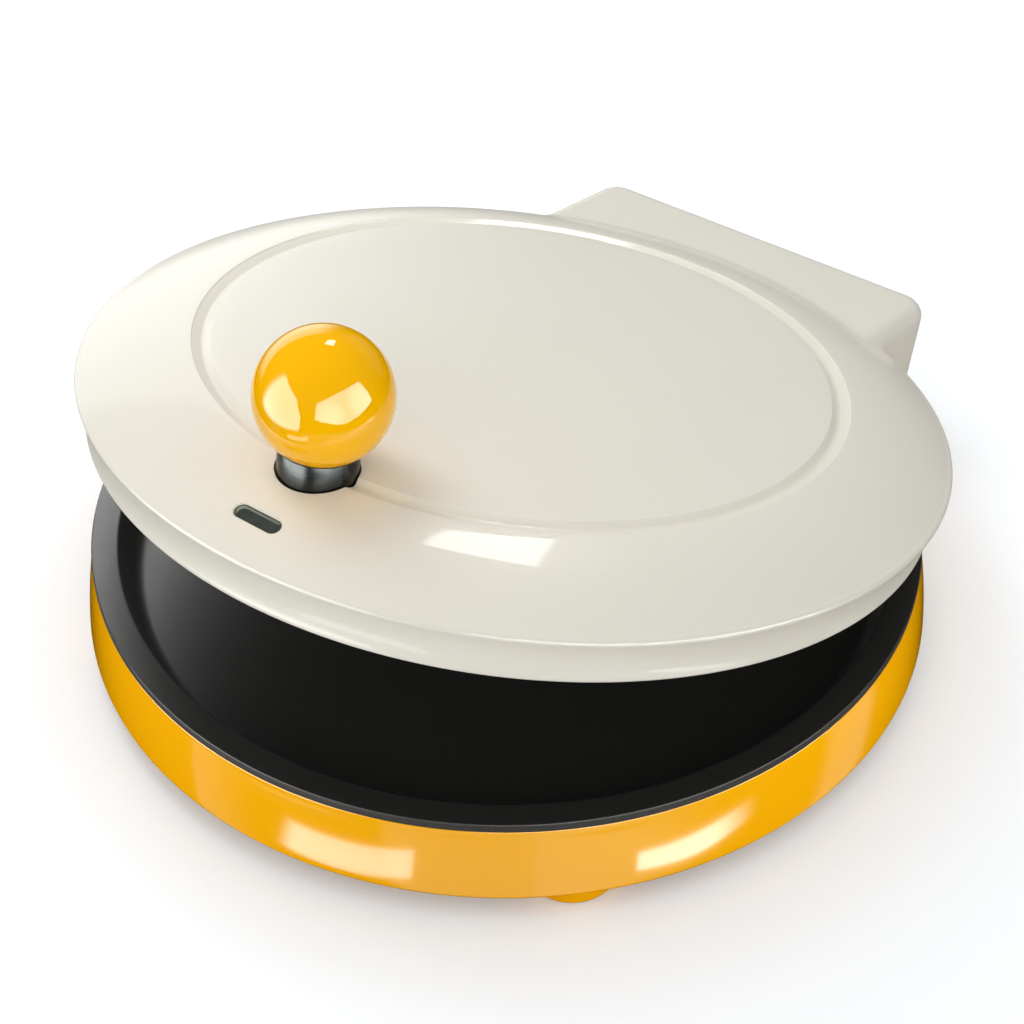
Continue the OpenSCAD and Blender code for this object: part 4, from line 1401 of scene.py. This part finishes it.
@dataclass
class Obround:
    """A long hole or bar with round ends.

    Attributes:
        length: Its whole length.
        width: Its width.
    """

    length: float
    width: float

    def grown(self, by: float) -> Obround:
        """The same shape with its outline moved outwards."""
        return Obround(self.length + 2 * by, self.width + 2 * by)

    def prism(self, name: str, low: float, high: float, edge: float = 0.0) -> bpy.types.Object:
        """Raises the shape between two heights.

        Args:
            name: The piece's name.
            low: Height of its underside.
            high: Height of its top.
            edge: Rounding of the top edge.

        Returns:
            The bar.
        """
        Bench.clear()
        bpy.ops.mesh.primitive_circle_add(
            vertices=48, radius=self.width / 2, fill_type="NGON", location=(0.0, 0.0, 0.0))
        piece = Bench.named(name)
        reach, slack = (self.length - self.width) / 2, 1e-4
        for side in (-1, 1):
            Bench.let_go(piece.data)
            for vertex in piece.data.vertices:
                vertex.select = vertex.co.x * side > (slack if side < 0 else -slack)
            bpy.ops.object.mode_set(mode="EDIT")
            bpy.ops.transform.translate(value=(reach * side, 0.0, 0.0))
            bpy.ops.object.mode_set(mode="OBJECT")
        bpy.ops.object.mode_set(mode="EDIT")
        bpy.ops.mesh.select_all(action="SELECT")
        bpy.ops.transform.translate(value=(0.0, 0.0, low))
        bpy.ops.mesh.extrude_region_move(TRANSFORM_OT_translate={"value": (0.0, 0.0, high - low)})
        bpy.ops.mesh.select_all(action="SELECT")
        bpy.ops.mesh.normals_make_consistent(inside=False)
        bpy.ops.object.mode_set(mode="OBJECT")
        if edge:
            Bench.bevel_edges(piece, lambda a, b: min(a.z, b.z) > high - TOUCH, edge, 4)
        return piece


@dataclass
class Knob:
    """The ball knob on its collar.

    Attributes:
        ball_r: Radius of the ball.
        ball_z: Height of the ball's middle.
        collar_r: Radius of the collar.
        collar_top: Height that the collar's wall would reach without the ball's seat.
        bore: Radius of the collar's bore.
        insert_r: Radius of the hole for the insert.
        insert_l: Length of that hole.
    """

    ball_r: float = 24.2
    ball_z: float = 105.4
    collar_r: float = 14.2
    collar_top: float = 86.3
    bore: float = 2.9
    insert_r: float = 4.05
    insert_l: float = 16.6

    def build(self, shop: Workshop, lid: Lid) -> None:
        """Builds and finishes the knob's pieces.

        Args:
            shop: The workshop.
            lid: The lid that carries the knob.
        """
        place = Matrix.Translation((0.0, -lid.knob_y, 0.0))
        steps = 64
        low = -math.acos(self.insert_r / self.ball_r)
        arc = [(self.ball_r * math.cos(a), self.ball_z + self.ball_r * math.sin(a))
               for a in (low + (math.pi / 2 - low) * i / steps for i in range(steps + 1))]
        arc[-1] = (0.0, self.ball_z + self.ball_r)
        hole_top = self.ball_z - self.ball_r - 1 + self.insert_l
        ball = Bench.turned("ball", [*arc, (0.0, hole_top), (self.insert_r, hole_top)], 128)
        shop.finish(Bench.moved(ball, place), Slot.BALL, Body.LID, "knob_ball")

        seat = self.ball_r + 0.05
        ends = (math.acos(r / seat) for r in (self.bore, self.collar_r - 0.35))
        cup = [(seat * math.cos(a), self.ball_z - seat * math.sin(a))
               for a in np.linspace(*ends, 14)]
        start, foot = (self.bore, lid.pocket_z), (self.collar_r, lid.pocket_z)
        brim = (self.collar_r, cup[-1][1] + 0.1)
        collar = Bench.turned("collar", [
            start, *fillet(start, foot, (self.collar_r, self.collar_top), 0.5, 3),
            *fillet(foot, brim, cup[-1], 0.3, 3), *reversed(cup)], 128)
        shop.finish(Bench.moved(collar, place), Slot.GUNMETAL, Body.LID, "knob_collar", 35)


@dataclass
class Indicator:
    """The indicator's lens: a shallow cup with a flange under the lid.

    Attributes:
        inner: Depth of the flange's top under the dome.
        sunk: Depth of the window under the dome.
        lip: Wall of the cup.
        flange: Width of the flange.
        flange_t: Thickness of the flange.
        play: Gap between the lens and its slot.
    """

    inner: float = 3.5
    sunk: float = 0.8
    lip: float = 0.55
    flange: float = 2.0
    flange_t: float = 1.4
    play: float = 0.1

    def build(self, shop: Workshop, lid: Lid) -> None:
        """Builds and finishes the lens.

        Args:
            shop: The workshop.
            lid: The lid that carries the lens.
        """
        slot = Obround(lid.lens_long, lid.lens_wide)
        body = slot.grown(-self.play)
        lens = body.prism("lens", -self.inner - 0.2, -self.sunk + 0.35, 0.2)
        Bench.cut(lens, body.grown(-self.lip).prism("well", -self.sunk - 1.1, 3.0))
        flange = slot.grown(self.flange)
        Bench.cut(lens, flange.prism("flange", -self.inner - self.flange_t, -self.inner), Cut.ADD)
        shop.finish(Bench.moved(lens, lid.lens_place()), Slot.LENS, Body.LID, "indicator_lens", 40)


# ---------------------------------------------------------------- base


@dataclass
class Base:
    """The flared base: its shell with the hinge lugs, the bottom cover and the cord gland.

    Attributes:
        wall: Wall of the shell.
        edge: Rounding of its lower edge.
        bow: How far its flank bows outwards.
        cover_r: Radius of the bottom cover.
        cover_t: Thickness of the cover.
        ledge_r: Inner radius of the ledge over the cover.
        lug_r: Radius of a hinge lug.
        lug_w: Width of a lug.
        lug_x: Distance of a lug from the middle.
        arm_y: Where a lug's arm starts, inside the shell.
        arm_h: Height of the arm.
        pin_bore: Radius of the lug's bore.
        gland_bore: Radius of the hole for the cord gland.
        bore: Radius of the gland's bore.
        cord_z: Height of the gland.
    """

    wall: float = 2.6
    edge: float = 2.0
    bow: float = 0.5
    cover_r: float = 128.0
    cover_t: float = 2.2
    ledge_r: float = 121.0
    lug_r: float = 12.5
    lug_w: float = 23.0
    lug_x: float = 48.0
    arm_y: float = 146.5
    arm_h: float = 10.5
    pin_bore: float = 3.06
    gland_bore: float = 6.05
    bore: float = 3.6
    cord_z: float = 24.0

    def section(self) -> list[Point]:
        """Draws the closed half section of the shell.

        Returns:
            The section's points.
        """
        low, top, foot = DATUM.base_bottom, DATUM.seam, DATUM.foot_r
        ledge, step = low + self.cover_t + 0.2, self.cover_r + 5.2
        flank = bowed((foot - 0.35, low + 2.2), (DATUM.base_r + 0.1, top - 0.6), -self.bow, 16)
        return rounded([
            (self.cover_r + 0.2, low, 0.3), (foot, low, self.edge), *flank,
            (DATUM.base_r, top, 0.25), (DATUM.base_r - self.wall, top, 0.3),
            (foot - self.wall - 0.5, low + self.wall, 2.0), (step, low + self.wall),
            (step, ledge + self.wall), (self.ledge_r, ledge + self.wall), (self.ledge_r, ledge),
            (self.cover_r + 0.2, ledge)], 6)

    def lug(self) -> bpy.types.Object:
        """Shapes one hinge lug with its arm.

        Returns:
            The lug on the right.
        """
        low, high = self.lug_x - self.lug_w / 2, self.lug_x + self.lug_w / 2
        under = DATUM.hinge_z - self.lug_r
        arm = Bench.block("arm", (low, self.arm_y, under),
                          (high, DATUM.hinge_y, under + self.arm_h))
        barrel = Bench.rod("barrel", self.lug_r, low, high, 96)
        Bench.cut(arm, Bench.moved(barrel, DATUM.across()), Cut.ADD)
        inner = DATUM.base_r - self.wall
        floor = DATUM.base_bottom + self.wall
        Bench.cut(arm, Bench.turned("inside", [
            (0.0, floor), (DATUM.foot_r - self.wall - 0.5, floor), (inner, DATUM.seam),
            (inner, 60.0), (0.0, 60.0)], 128))
        bore = Bench.rod("bore", self.pin_bore, 20.0, 80.0, 48)
        return Bench.cut(arm, Bench.moved(bore, DATUM.across()))

    def shell(self) -> bpy.types.Object:
        """Shapes the shell with its lugs, posts and holes.

        Returns:
            The shell.
        """
        shell = Bench.turned("shell", self.section())
        Bench.cut(shell, self.lug(), Cut.ADD)
        Bench.cut(shell, Bench.mirrored(self.lug()), Cut.ADD)
        low, sink = DATUM.base_bottom, DATUM.base_bottom + 2.4
        post = Bench.rod("posts", DATUM.post_r, low + 0.01, DATUM.post_tip, 48)
        Bench.cut(shell, Bench.copies(post, DATUM.post_places), Cut.ADD)
        well = Bench.turned("wells", [
            (0.0, 5.0), (3.5, 5.0), (3.5, sink), (2.0, sink), (2.0, 30.0), (0.0, 30.0)], 40)
        Bench.cut(shell, Bench.copies(well, DATUM.post_places))
        bore = Bench.rod("gland_bore", self.gland_bore, -10.0, 14.0, 64)
        return Bench.cut(shell, Bench.moved(bore, self.cord_place()))

    def cord_place(self) -> Matrix:
        """Finds where the cord gland sits.

        Returns:
            The move that puts the gland into the base's flank.
        """
        share = (self.cord_z - DATUM.base_bottom) / (DATUM.seam - DATUM.base_bottom)
        radius = DATUM.foot_r - DATUM.base_flare * share
        return about_z(DATUM.cord_angle, radius, self.cord_z) @ SIDEWAYS

    def build(self, shop: Workshop) -> None:
        """Builds and finishes the base's pieces.

        Args:
            shop: The workshop.
        """
        shop.finish(self.shell(), Slot.YELLOW, Body.BASE, "base_shell", 32)
        low, high = DATUM.base_bottom, DATUM.base_bottom + self.cover_t
        cover = Bench.turned("cover", rounded([
            (0.0, low), (self.cover_r, low, 0.6), (self.cover_r, high, 0.3), (0.0, high)], 4))
        vent = Obround(26.0, 4.0).prism("vents", low - 1, low + 4)
        Bench.cut(cover, Bench.copies(vent, [
            about_z(15 + 30 * i, part * self.cover_r) for part in (0.375, 0.656)
            for i in range(12)]))
        well = Bench.rod("cover_wells", 2.0, low - 1, low + 4, 32)
        Bench.cut(cover, Bench.copies(well, [
            about_z(30 + 60 * i, DATUM.cover_screw_ring) for i in range(6)]))
        shop.finish(cover, Slot.BLACK, Body.BASE, "bottom_cover")
        gland = Bench.turned("gland", rounded([
            (self.bore, -8.0, 0.3), (6.0, -8.0, 0.3), (6.0, -0.2), (9.5, -0.2), (9.5, 0.7, 0.2),
            (8.4, 3.4, 0.7), (self.bore, 3.4, 0.9)], 4), 96)
        Bench.moved(gland, self.cord_place())
        shop.finish(gland, Slot.BLACK, Body.BASE, "cord_gland", 40)


@dataclass
class Feet:
    """The four round feet and their rubber pads.

    Attributes:
        radius: Radius of a foot.
        taper: How much narrower it is below.
        pad_r: Radius of a pad.
        pad_t: Thickness of a pad.
        proud: How far a pad stands out below its foot.
        corners: Angle of each foot round the base.
    """

    radius: float = 18.0
    taper: float = 0.6
    pad_r: float = 12.7
    pad_t: float = 4.2
    proud: float = 0.8
    corners: dict[str, float] = field(default_factory=lambda: {
        "foot_front_left": 225.0, "foot_front_right": 315.0, "foot_rear_left": 135.0,
        "foot_rear_right": 45.0})

    def build(self, shop: Workshop) -> None:
        """Builds and finishes the feet.

        Args:
            shop: The workshop.
        """
        top, well = DATUM.base_bottom, self.pad_r + 0.2
        pattern = Bench.turned("pattern", rounded([
            (2.0, 6.6), (3.5, 6.6), (3.5, self.pad_t, 0.2), (well, self.pad_t),
            (well, self.proud, 0.4), (self.radius - self.taper, self.proud, 1.6),
            (self.radius, top), (2.0, top)], 5), 96)
        for name, angle in self.corners.items():
            foot = Bench.moved(Bench.twin(pattern), about_z(angle, DATUM.foot_ring))
            shop.finish(foot, Slot.YELLOW, Body.BASE, name)
        bpy.data.objects.remove(pattern)
        ribs = [(r + dr, dz) for r in (4.0, 8.0)
                for dr, dz in ((0.0, 0.0), (0.3, 0.35), (0.7, 0.35), (1.0, 0.0))]
        pad = Bench.turned("pad", rounded([
            (0.0, 0.0), *ribs, (self.pad_r, 0.0, 0.9), (self.pad_r, self.pad_t, 0.3),
            (0.0, self.pad_t)], 4), 72)
        pads = Bench.copies(pad, [about_z(a, DATUM.foot_ring) for a in (45, 135, 225, 315)])
        shop.finish(pads, Slot.RUBBER, Body.BASE, "foot_pads")


@dataclass
class Pan:
    """The lower pan with its flat rim.

    Attributes:
        mouth: Radius of the pan's mouth.
        floor_r: Radius of its floor.
        floor_z: Height of its floor.
        under_z: Height of its underside.
        dip: How far the rim falls towards the mouth.
        corner: Rounding between floor and wall.
    """

    mouth: float = 154.5
    floor_r: float = 149.5
    floor_z: float = 26.0
    under_z: float = 23.0
    dip: float = 1.4
    corner: float = 5.0

    def build(self, shop: Workshop) -> None:
        """Builds and finishes the pan.

        Args:
            shop: The workshop.
        """
        seam, rim, radius = DATUM.seam, DATUM.rim_top, DATUM.base_r
        mouth_z = rim - self.dip
        pan = Bench.turned("pan", rounded([
            (0.0, self.under_z), (self.floor_r - 1, self.under_z, 2.0),
            (self.floor_r + 3, self.floor_z + 1, 2.0), (self.mouth + 2.4, seam - 3, 1.0),
            (self.mouth + 4.6, seam), (radius, seam, 0.3), (radius, rim, 0.5),
            (self.mouth + 1.6, mouth_z + 0.2, 1.5), (self.mouth - 0.1, mouth_z, 1.4),
            (self.floor_r, self.floor_z, self.corner), (0.0, self.floor_z)], 8))
        post = Bench.rod("posts", DATUM.post_r, DATUM.post_tip, self.under_z + 1, 48)
        Bench.cut(pan, Bench.copies(post, DATUM.post_places), Cut.ADD)
        shop.finish(pan, Slot.NONSTICK, Body.BASE, "lower_pan", 28)


# ---------------------------------------------------------------- fasteners and hinge


@dataclass
class Screw:
    """A screw with a cross recess in its head.

    Attributes:
        length: Length of the shank.
        head_h: Height of the head.
        sunk: Whether the head is countersunk.
    """

    length: float
    head_h: float = 2.0
    sunk: bool = False

    def make(self) -> bpy.types.Object:
        """Makes the screw, its shank up and its head below.

        Returns:
            The screw.
        """
        shank, head, h = DATUM.screw_r, DATUM.head_r, self.head_h
        tip = [(shank, self.length - 1), (0.4, self.length), (0.0, self.length)]
        if self.sunk:
            cap = [(0.0, 0.0), (head - 0.2, 0.0), (head - 0.1, 0.12), (shank, 1.4)]
        else:
            cap = [(0.0, -h), (head * 0.45, -h + 0.03), (head * 0.75, -h + 0.22),
                   (head * 0.93, -h + 0.6), (head, -h * 0.45), (head, 0.0), (shank, 0.0)]
        face = cap[0][1]
        screw = Bench.turned("screw", [*cap, *tip], 32)
        arm, half = 1.9, 0.42
        recess = Bench.block("recess", (-arm, -half, face - 1), (arm, half, face + 1.0))
        cross = Bench.block("cross", (-half, -arm, face - 1), (half, arm, face + 1.0))
        return Bench.cut(screw, Bench.cut(recess, cross, Cut.ADD))


@dataclass
class Fasteners:
    """The screws that show from outside.

    Attributes:
        plate_ring: Radius of the ring of screws in the upper plate.
        bracket_x: Where the screws of the hinge brackets are.
    """

    plate_ring: float = 154.4
    bracket_x: tuple[float, ...] = (-55.0, -41.0, 41.0, 55.0)

    def build(self, shop: Workshop, lid: Lid) -> None:
        """Builds and finishes the screws.

        Args:
            shop: The workshop.
            lid: The lid that the plate screws hold.
        """
        low, sixths = DATUM.base_bottom, range(0, 360, 60)
        rings: tuple[tuple[str, Screw, float, float, Sequence[float], Body], ...] = (
            ("cover_screws", Screw(19.6 - low, 1.6), DATUM.cover_screw_ring, low,
             [30 + a for a in sixths], Body.BASE),
            ("foot_screws", Screw(9.4), DATUM.foot_ring, 6.6, [45, 135, 225, 315], Body.BASE),
            ("pan_screws", Screw(11.2), DATUM.post_ring, low + 2.4, [0, 90, 180, 270], Body.BASE),
            ("plate_screws", Screw(13.5, sunk=True), self.plate_ring, lid.flange_z, sixths,
             Body.LID),
        )
        for name, screw, radius, height, angles, body in rings:
            made = Bench.copies(screw.make(), [
                about_z(a, radius, height) @ Matrix.Rotation(math.radians(37 * i), 4, "Z")
                for i, a in enumerate(angles)])
            shop.finish(made, Slot.STEEL, body, name)
        made = Bench.copies(Screw(8.0, 1.6).make(), [
            Matrix.Translation((x, DATUM.hinge_y, DATUM.bracket_z))
            @ Matrix.Rotation(0.6 * i, 4, "Z") for i, x in enumerate(self.bracket_x)])
        shop.finish(made, Slot.STEEL, Body.LID, "bracket_screws")


@dataclass
class Hinge:
    """The pressed brackets, pins, washers and clips of the hinge.

    Attributes:
        sheet: Thickness of a bracket's sheet.
        cheek_r: Radius of its ears.
        fold: Rounding of its folds.
        screw_x: Where its screw holes are.
        pin_r: Radius of a pin.
        head_r: Radius of a pin's head.
    """

    sheet: float = 2.0
    cheek_r: float = 8.0
    fold: float = 1.6
    screw_x: tuple[float, float] = (41.0, 55.0)
    pin_r: float = 3.0
    head_r: float = 5.0

    def bracket(self) -> bpy.types.Object:
        """Shapes one bracket: a folded strip with round ears.

        Returns:
            The bracket on the right.
        """
        y, r, t = DATUM.hinge_y, self.cheek_r, self.sheet
        inner, outer, top = DATUM.cheek_in, DATUM.cheek_out, DATUM.bracket_z
        body = Bench.block("bracket", (inner - t, y - r, DATUM.hinge_z),
                           (outer + t, y + r, top + t))
        Bench.bevel_edges(
            body, lambda a, b: min(a.z, b.z) > top and abs(a.y - b.y) > 1, self.fold, 4)
        ears = Bench.rod("ears", r, inner - t, outer + t, 72)
        Bench.cut(body, Bench.moved(ears, DATUM.across()), Cut.ADD)
        Bench.cut(body, Bench.block(
            "gap", (inner, y - 20, DATUM.hinge_z - 20), (outer, y + 20, top)))
        bore = Bench.rod("bore", self.pin_r + 0.02, 20.0, 80.0, 48)
        Bench.cut(body, Bench.moved(bore, DATUM.across()))
        holes = [Matrix.Translation((x, y, 0.0)) for x in self.screw_x]
        return Bench.cut(body, Bench.copies(Bench.rod("holes", 2.0, 50.0, 65.0, 32), holes))

    def pin(self) -> bpy.types.Object:
        """Turns one pin with its head.

        Returns:
            The pin on the right.
        """
        start, end = DATUM.cheek_in - 5.0, DATUM.cheek_out + self.sheet
        pin = Bench.turned("pin", rounded([
            (0.0, start), (self.pin_r, start, 0.5), (self.pin_r, end), (self.head_r, end, 0.2),
            (self.head_r, end + 2.0, 0.7), (0.0, end + 2.0)], 4), 48)
        return Bench.moved(pin, DATUM.across())

    def disc(self, x: float, outer: float) -> bpy.types.Object:
        """Turns one washer or clip on the pin, a millimetre thick.

        Args:
            x: Where it starts along the hinge line.
            outer: Its outer radius.

        Returns:
            The disc.
        """
        inner = self.pin_r + 0.02
        ring = Bench.turned("disc", rounded([
            (inner, 0.0, 0.15), (outer, 0.0, 0.2), (outer, 1.0, 0.2), (inner, 1.0, 0.15)], 3), 48)
        return Bench.moved(ring, DATUM.across(x))

    def build(self, shop: Workshop) -> None:
        """Builds and finishes the hinge's pieces.

        Args:
            shop: The workshop.
        """
        for side in ("right", "left"):
            for what, piece in (("hinge_bracket", self.bracket()), ("hinge_pin", self.pin())):
                if side == "left":
                    Bench.mirrored(piece)
                shop.finish(piece, Slot.STEEL, Body.LID, f"{side}_{what}", 35)
        washers = Bench.joined(
            *[self.disc(x, 6.5) for x in (DATUM.cheek_in + 0.1, DATUM.cheek_out - 1.1)])
        clip = self.disc(DATUM.cheek_in - 3.2, 5.4)
        for name, slot, one in (
                ("hinge_washers", Slot.NYLON, washers), ("pin_clips", Slot.STEEL, clip)):
            pair = Bench.joined(one, Bench.mirrored(Bench.twin(one)))
            shop.finish(pair, slot, Body.LID, name, 35)


# ---------------------------------------------------------------- studio


def aimed(data: Any, place: Place, aim: Place) -> bpy.types.Object:
    """Stands a lamp or camera at a place and points it.

    Args:
        data: The lamp or camera.
        place: Where it stands, in metres.
        aim: Where it points, in metres.

    Returns:
        Its object.
    """
    holder = bpy.data.objects.new(data.name, data)
    holder.location = place
    holder.rotation_euler = (Vector(aim) - Vector(place)).to_track_quat("-Z", "Y").to_euler()
    bpy.context.scene.collection.objects.link(holder)
    return holder


@dataclass
class Softbox:
    """A lamp with a flat rectangular face.

    Attributes:
        name: The lamp's name.
        place: Where it stands, in metres.
        size: Width and height, in metres.
        power: Power in watts.
        aim: Where it points, in metres.
        only: Pieces that it lights; all of them where left out.
        shine: Whether gloss shows it.
    """

    name: str
    place: Place
    size: Point
    power: float
    aim: Place = (0.0, 0.0, 0.06)
    only: tuple[str, ...] = ()
    shine: bool = False

    def light(self) -> None:
        """Adds the lamp."""
        lamp = bpy.data.lights.new(self.name, "AREA")
        lamp.shape, lamp.size, lamp.size_y, lamp.energy = "RECTANGLE", *self.size, self.power
        holder = aimed(lamp, self.place, self.aim)
        holder.visible_glossy = self.shine
        if self.only:
            lit = bpy.data.collections.new(self.name + "_lights")
            for name in self.only:
                lit.objects.link(bpy.data.objects[name])
            holder.light_linking.receiver_collection = lit


@dataclass(frozen=True)
class Panel:
    """A lit cloth far out in the studio, which shows only in gloss.

    Attributes:
        corners: Its corners in order: turn from the front towards +X, and rise, in degrees.
        glow: Brightness of the cloth.
        edges: How softly each side fades inwards, in radians; fewer values are used again in turn.
        bulbs: Turn and rise of the brighter places, where lamps stand behind the cloth.
    """

    corners: tuple[Point, ...]
    glow: float
    edges: tuple[float, ...] = (0.01,)
    bulbs: tuple[Point, ...] = ()

    @staticmethod
    def direction(turn: float, rise: float) -> Vector:
        """The direction at a turn and a rise, in degrees."""
        a, b = math.radians(turn), math.radians(rise)
        return Vector((math.sin(a) * math.cos(b), -math.cos(a) * math.cos(b), math.sin(b)))

    def write(self, book: NodeBook, ray: bpy.types.NodeSocket) -> Level:
        """Writes the panel's brightness along a ray.

        Args:
            book: Where its nodes go.
            ray: The ray's direction.

        Returns:
            The brightness.
        """
        around = [self.direction(*corner) for corner in self.corners]
        middle = sum(around, Vector())
        glow: Any = self.glow
        for bulb in self.bulbs:
            hot = book.step(book.dot(ray, self.direction(*bulb)), 0.88, 1.0)
            glow = hot * (0.5 * self.glow) + glow
        for index, (start, end) in enumerate(zip(around, [*around[1:], around[0]])):
            inward = start.cross(end).normalized()
            inward = inward if inward.dot(middle) > 0 else -inward
            fade = self.edges[index % len(self.edges)]
            glow = book.step(book.dot(ray, inward), -0.006, fade) * glow
        return glow


BASE_PIECES = ("base_shell_dress", "foot_front_left_dress", "foot_front_right_dress")


@dataclass
class Studio:
    """The camera, the floor, the lamps and the air.

    Attributes:
        eye: Where the camera stands, in metres.
        aim: Where it points, in metres.
        lens: Its focal length, in millimetres.
        air_level: Strength of the even light.
        room_level: Brightness of the dark room in gloss, overhead.
        floor_tint: Colour of the floor's shadows to the camera.
        floor_glow: Light that the open floor adds to the camera's view.
        shade_glow: What is left of that light in a deep corner.
        shade_reach: How far from a piece the floor darkens, in metres.
        lamps: The lamps.
        panels: The panels that gloss shows.
    """

    eye: Place = (0.36393, -0.49739, 0.58346)
    aim: Place = (0.00169, 0.00124, 0.041)
    lens: float = 71.73
    air_level: float = 0.62
    room_level: float = 0.12
    floor_tint: Colour = (0.42, 0.455, 0.49)
    floor_glow: float = 0.53
    shade_glow: float = 0.11
    shade_reach: float = 0.06
    lamps: tuple[Softbox, ...] = (
        Softbox("key_left", (-0.60, 0.11, 0.88), (0.5, 0.5), 4.1),
        Softbox("fill_front", (0.45, -1.3, 0.75), (0.9, 0.7), 4.6),
        Softbox("fill_right", (1.3, 0.65, 0.35), (0.6, 0.5), 1.2),
        Softbox("ball_right", (0.9, -0.6, 0.7), (0.5, 0.5), 1.3, aim=(0.0, -0.1, 0.13),
                only=("knob_ball_dress",)),
        Softbox("rim_sheen", (-0.49, 0.37, 0.49), (0.5, 0.5), 9.0, only=("lower_pan_dress",),
                shine=True),
        Softbox("base_right", (1.2, 0.5, 0.35), (0.7, 0.5), 6.8, only=BASE_PIECES),
        Softbox("base_left", (-1.0, -0.9, 0.35), (0.7, 0.5), 5.9, only=BASE_PIECES),
    )
    panels: tuple[Panel, ...] = (
        Panel(((-150, 44), (-159, 40), (-164, 54), (-147, 53)), 20.0),
        Panel(((-75, -9), (-87, 19), (-118, 28), (-151, 40), (-154, 15), (-153, -17), (-116, -21)),
              2.0, (0.08, 0.06, 0.06, 0.3, 0.3, 0.3, 0.3)),
        Panel(((-67, 38), (-6, 26), (6, 0), (2, -25), (-52, -26), (-74, -16), (-70, 4)), 12.5,
              (0.03, 0.01, 0.01, 0.12, 0.2, 0.25, 0.3)),
        Panel(((29, 25.5), (118, 31), (121, -18), (69, -13), (25.5, -15)), 10.5,
              bulbs=((50, 5), (103, 12))),
        Panel(((-20, -32), (14, -30), (12, -39), (-25, -40)), 5.0, (0.02, 0.005, 0.02, 0.06)),
        Panel(((68, -33), (99, -30), (102, -37), (85, -39), (69, -41)), 8.0,
              (0.02, 0.2, 0.01, 0.01, 0.005)),
        Panel(((-46, -24), (-26, -24), (-34, -60), (-62, -60)), 0.4, (0.01, 0.3, 0.01, 0.005)),
        Panel(((5, -24), (43, -24), (43, -60), (5, -60)), 0.6, (0.01, 0.005, 0.01, 0.05)),
        Panel(((43, -24), (92, -24), (92, -60), (43, -60)), 0.9, (0.01, 0.5, 0.01, 0.005)),
        Panel(((120, -24), (145, -24), (145, -60), (120, -60)), 0.4, (0.01, 0.1, 0.01, 0.1)),
        Panel(((-154, 30), (150, 30), (150, -8), (-154, -8)), 0.2, (0.2,)),
    )

    def camera(self) -> None:
        """Sets the camera."""
        data = bpy.data.cameras.new("camera")
        data.lens, data.sensor_width, data.clip_start, data.clip_end = self.lens, 36.0, 0.01, 50.0
        bpy.context.scene.camera = aimed(data, self.eye, self.aim)

    def floor(self) -> None:
        """Lays the pale floor, which keeps the shadow and is white to the camera elsewhere; near the
        pieces its glow is dimmed by occlusion, a painted contact shade.
        """
        Bench.clear()
        bpy.ops.mesh.primitive_plane_add(size=12.0, location=(0.0, 0.0, 0.0))
        floor = Bench.named("studio_floor")
        recipe = Recipe("floor_paper")
        grain = recipe.ramp(recipe.noise(3.0, 2.0), [(0.3, (0.80,) * 3), (0.7, (0.81,) * 3)])
        recipe.set(Base_Color=grain, Roughness=0.9, Specular_IOR_Level=0.0)
        seen = recipe.node("ShaderNodeBsdfDiffuse", inputs={"Color": self.floor_tint})
        # painted shade: the floor's glow to the camera is dimmed by ambient occlusion close to the
        # pieces
        hollow = recipe.node(
            "ShaderNodeAmbientOcclusion", {"samples": 8}, {"Distance": self.shade_reach})
        glow = Level(recipe.tree, hollow.outputs["AO"]) * self.floor_glow + self.shade_glow
        white = recipe.node("ShaderNodeEmission", inputs={"Color": WHITE, "Strength": glow})
        both = recipe.node("ShaderNodeAddShader", inputs={0: seen.outputs[0], 1: white.outputs[0]})
        path = recipe.node("ShaderNodeLightPath")
        mix = recipe.mixed(path.outputs["Is Camera Ray"], recipe.shader, both)
        recipe.feed(recipe.output.inputs["Surface"], mix.outputs[0])
        floor.data.materials.append(recipe.material)
        floor.visible_glossy = False

    def air(self) -> None:
        """Fills the studio: even light, panels for gloss and plain white for the camera."""
        world = bpy.data.worlds.new("studio_air")
        bpy.context.scene.world = world
        world.use_nodes = True
        book = NodeBook(world.node_tree)
        ray = book.node("ShaderNodeTexCoord").outputs["Generated"]
        path = book.node("ShaderNodeLightPath").outputs
        gloss: Any = book.step(book.dot(ray, (0.0, 0.0, 1.0)), -0.1, 0.5) * self.room_level
        for panel in self.panels:
            gloss = panel.write(book, ray) + gloss
        soft, shine, white = (
            book.node("ShaderNodeBackground", inputs={"Color": WHITE, "Strength": strength})
            for strength in (self.air_level, gloss, 1.0))
        inner = book.mixed(path["Is Glossy Ray"], soft, shine)
        clear = Level(book.tree, path["Is Camera Ray"]) + Level(
            book.tree, path["Is Transmission Ray"])
        outer = book.mixed(clear, inner, white)
        book.node("ShaderNodeOutputWorld", inputs={"Surface": outer.outputs[0]})

    def build(self) -> None:
        """Sets up the studio round the finished pieces."""
        bpy.context.scene.view_settings.view_transform = "Standard"
        self.camera()
        self.floor()
        self.air()
        for lamp in self.lamps:
            lamp.light()


def main(frame: dict[str, Any]) -> None:
    """Builds every piece in order.
    """
    logging.basicConfig(level=logging.INFO, format="%(name)s: %(message)s")
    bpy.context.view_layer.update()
    shop = Workshop(frame)
    shop.dress_frame()
    lid = Lid()
    Base().build(shop)
    Feet().build(shop)
    Pan().build(shop)
    lid.build(shop)
    Knob().build(shop, lid)
    Indicator().build(shop, lid)
    Fasteners().build(shop, lid)
    Hinge().build(shop)
    Studio().build()
    Bench.clear()


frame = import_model()

if __name__ == "__main__":
    main(frame)
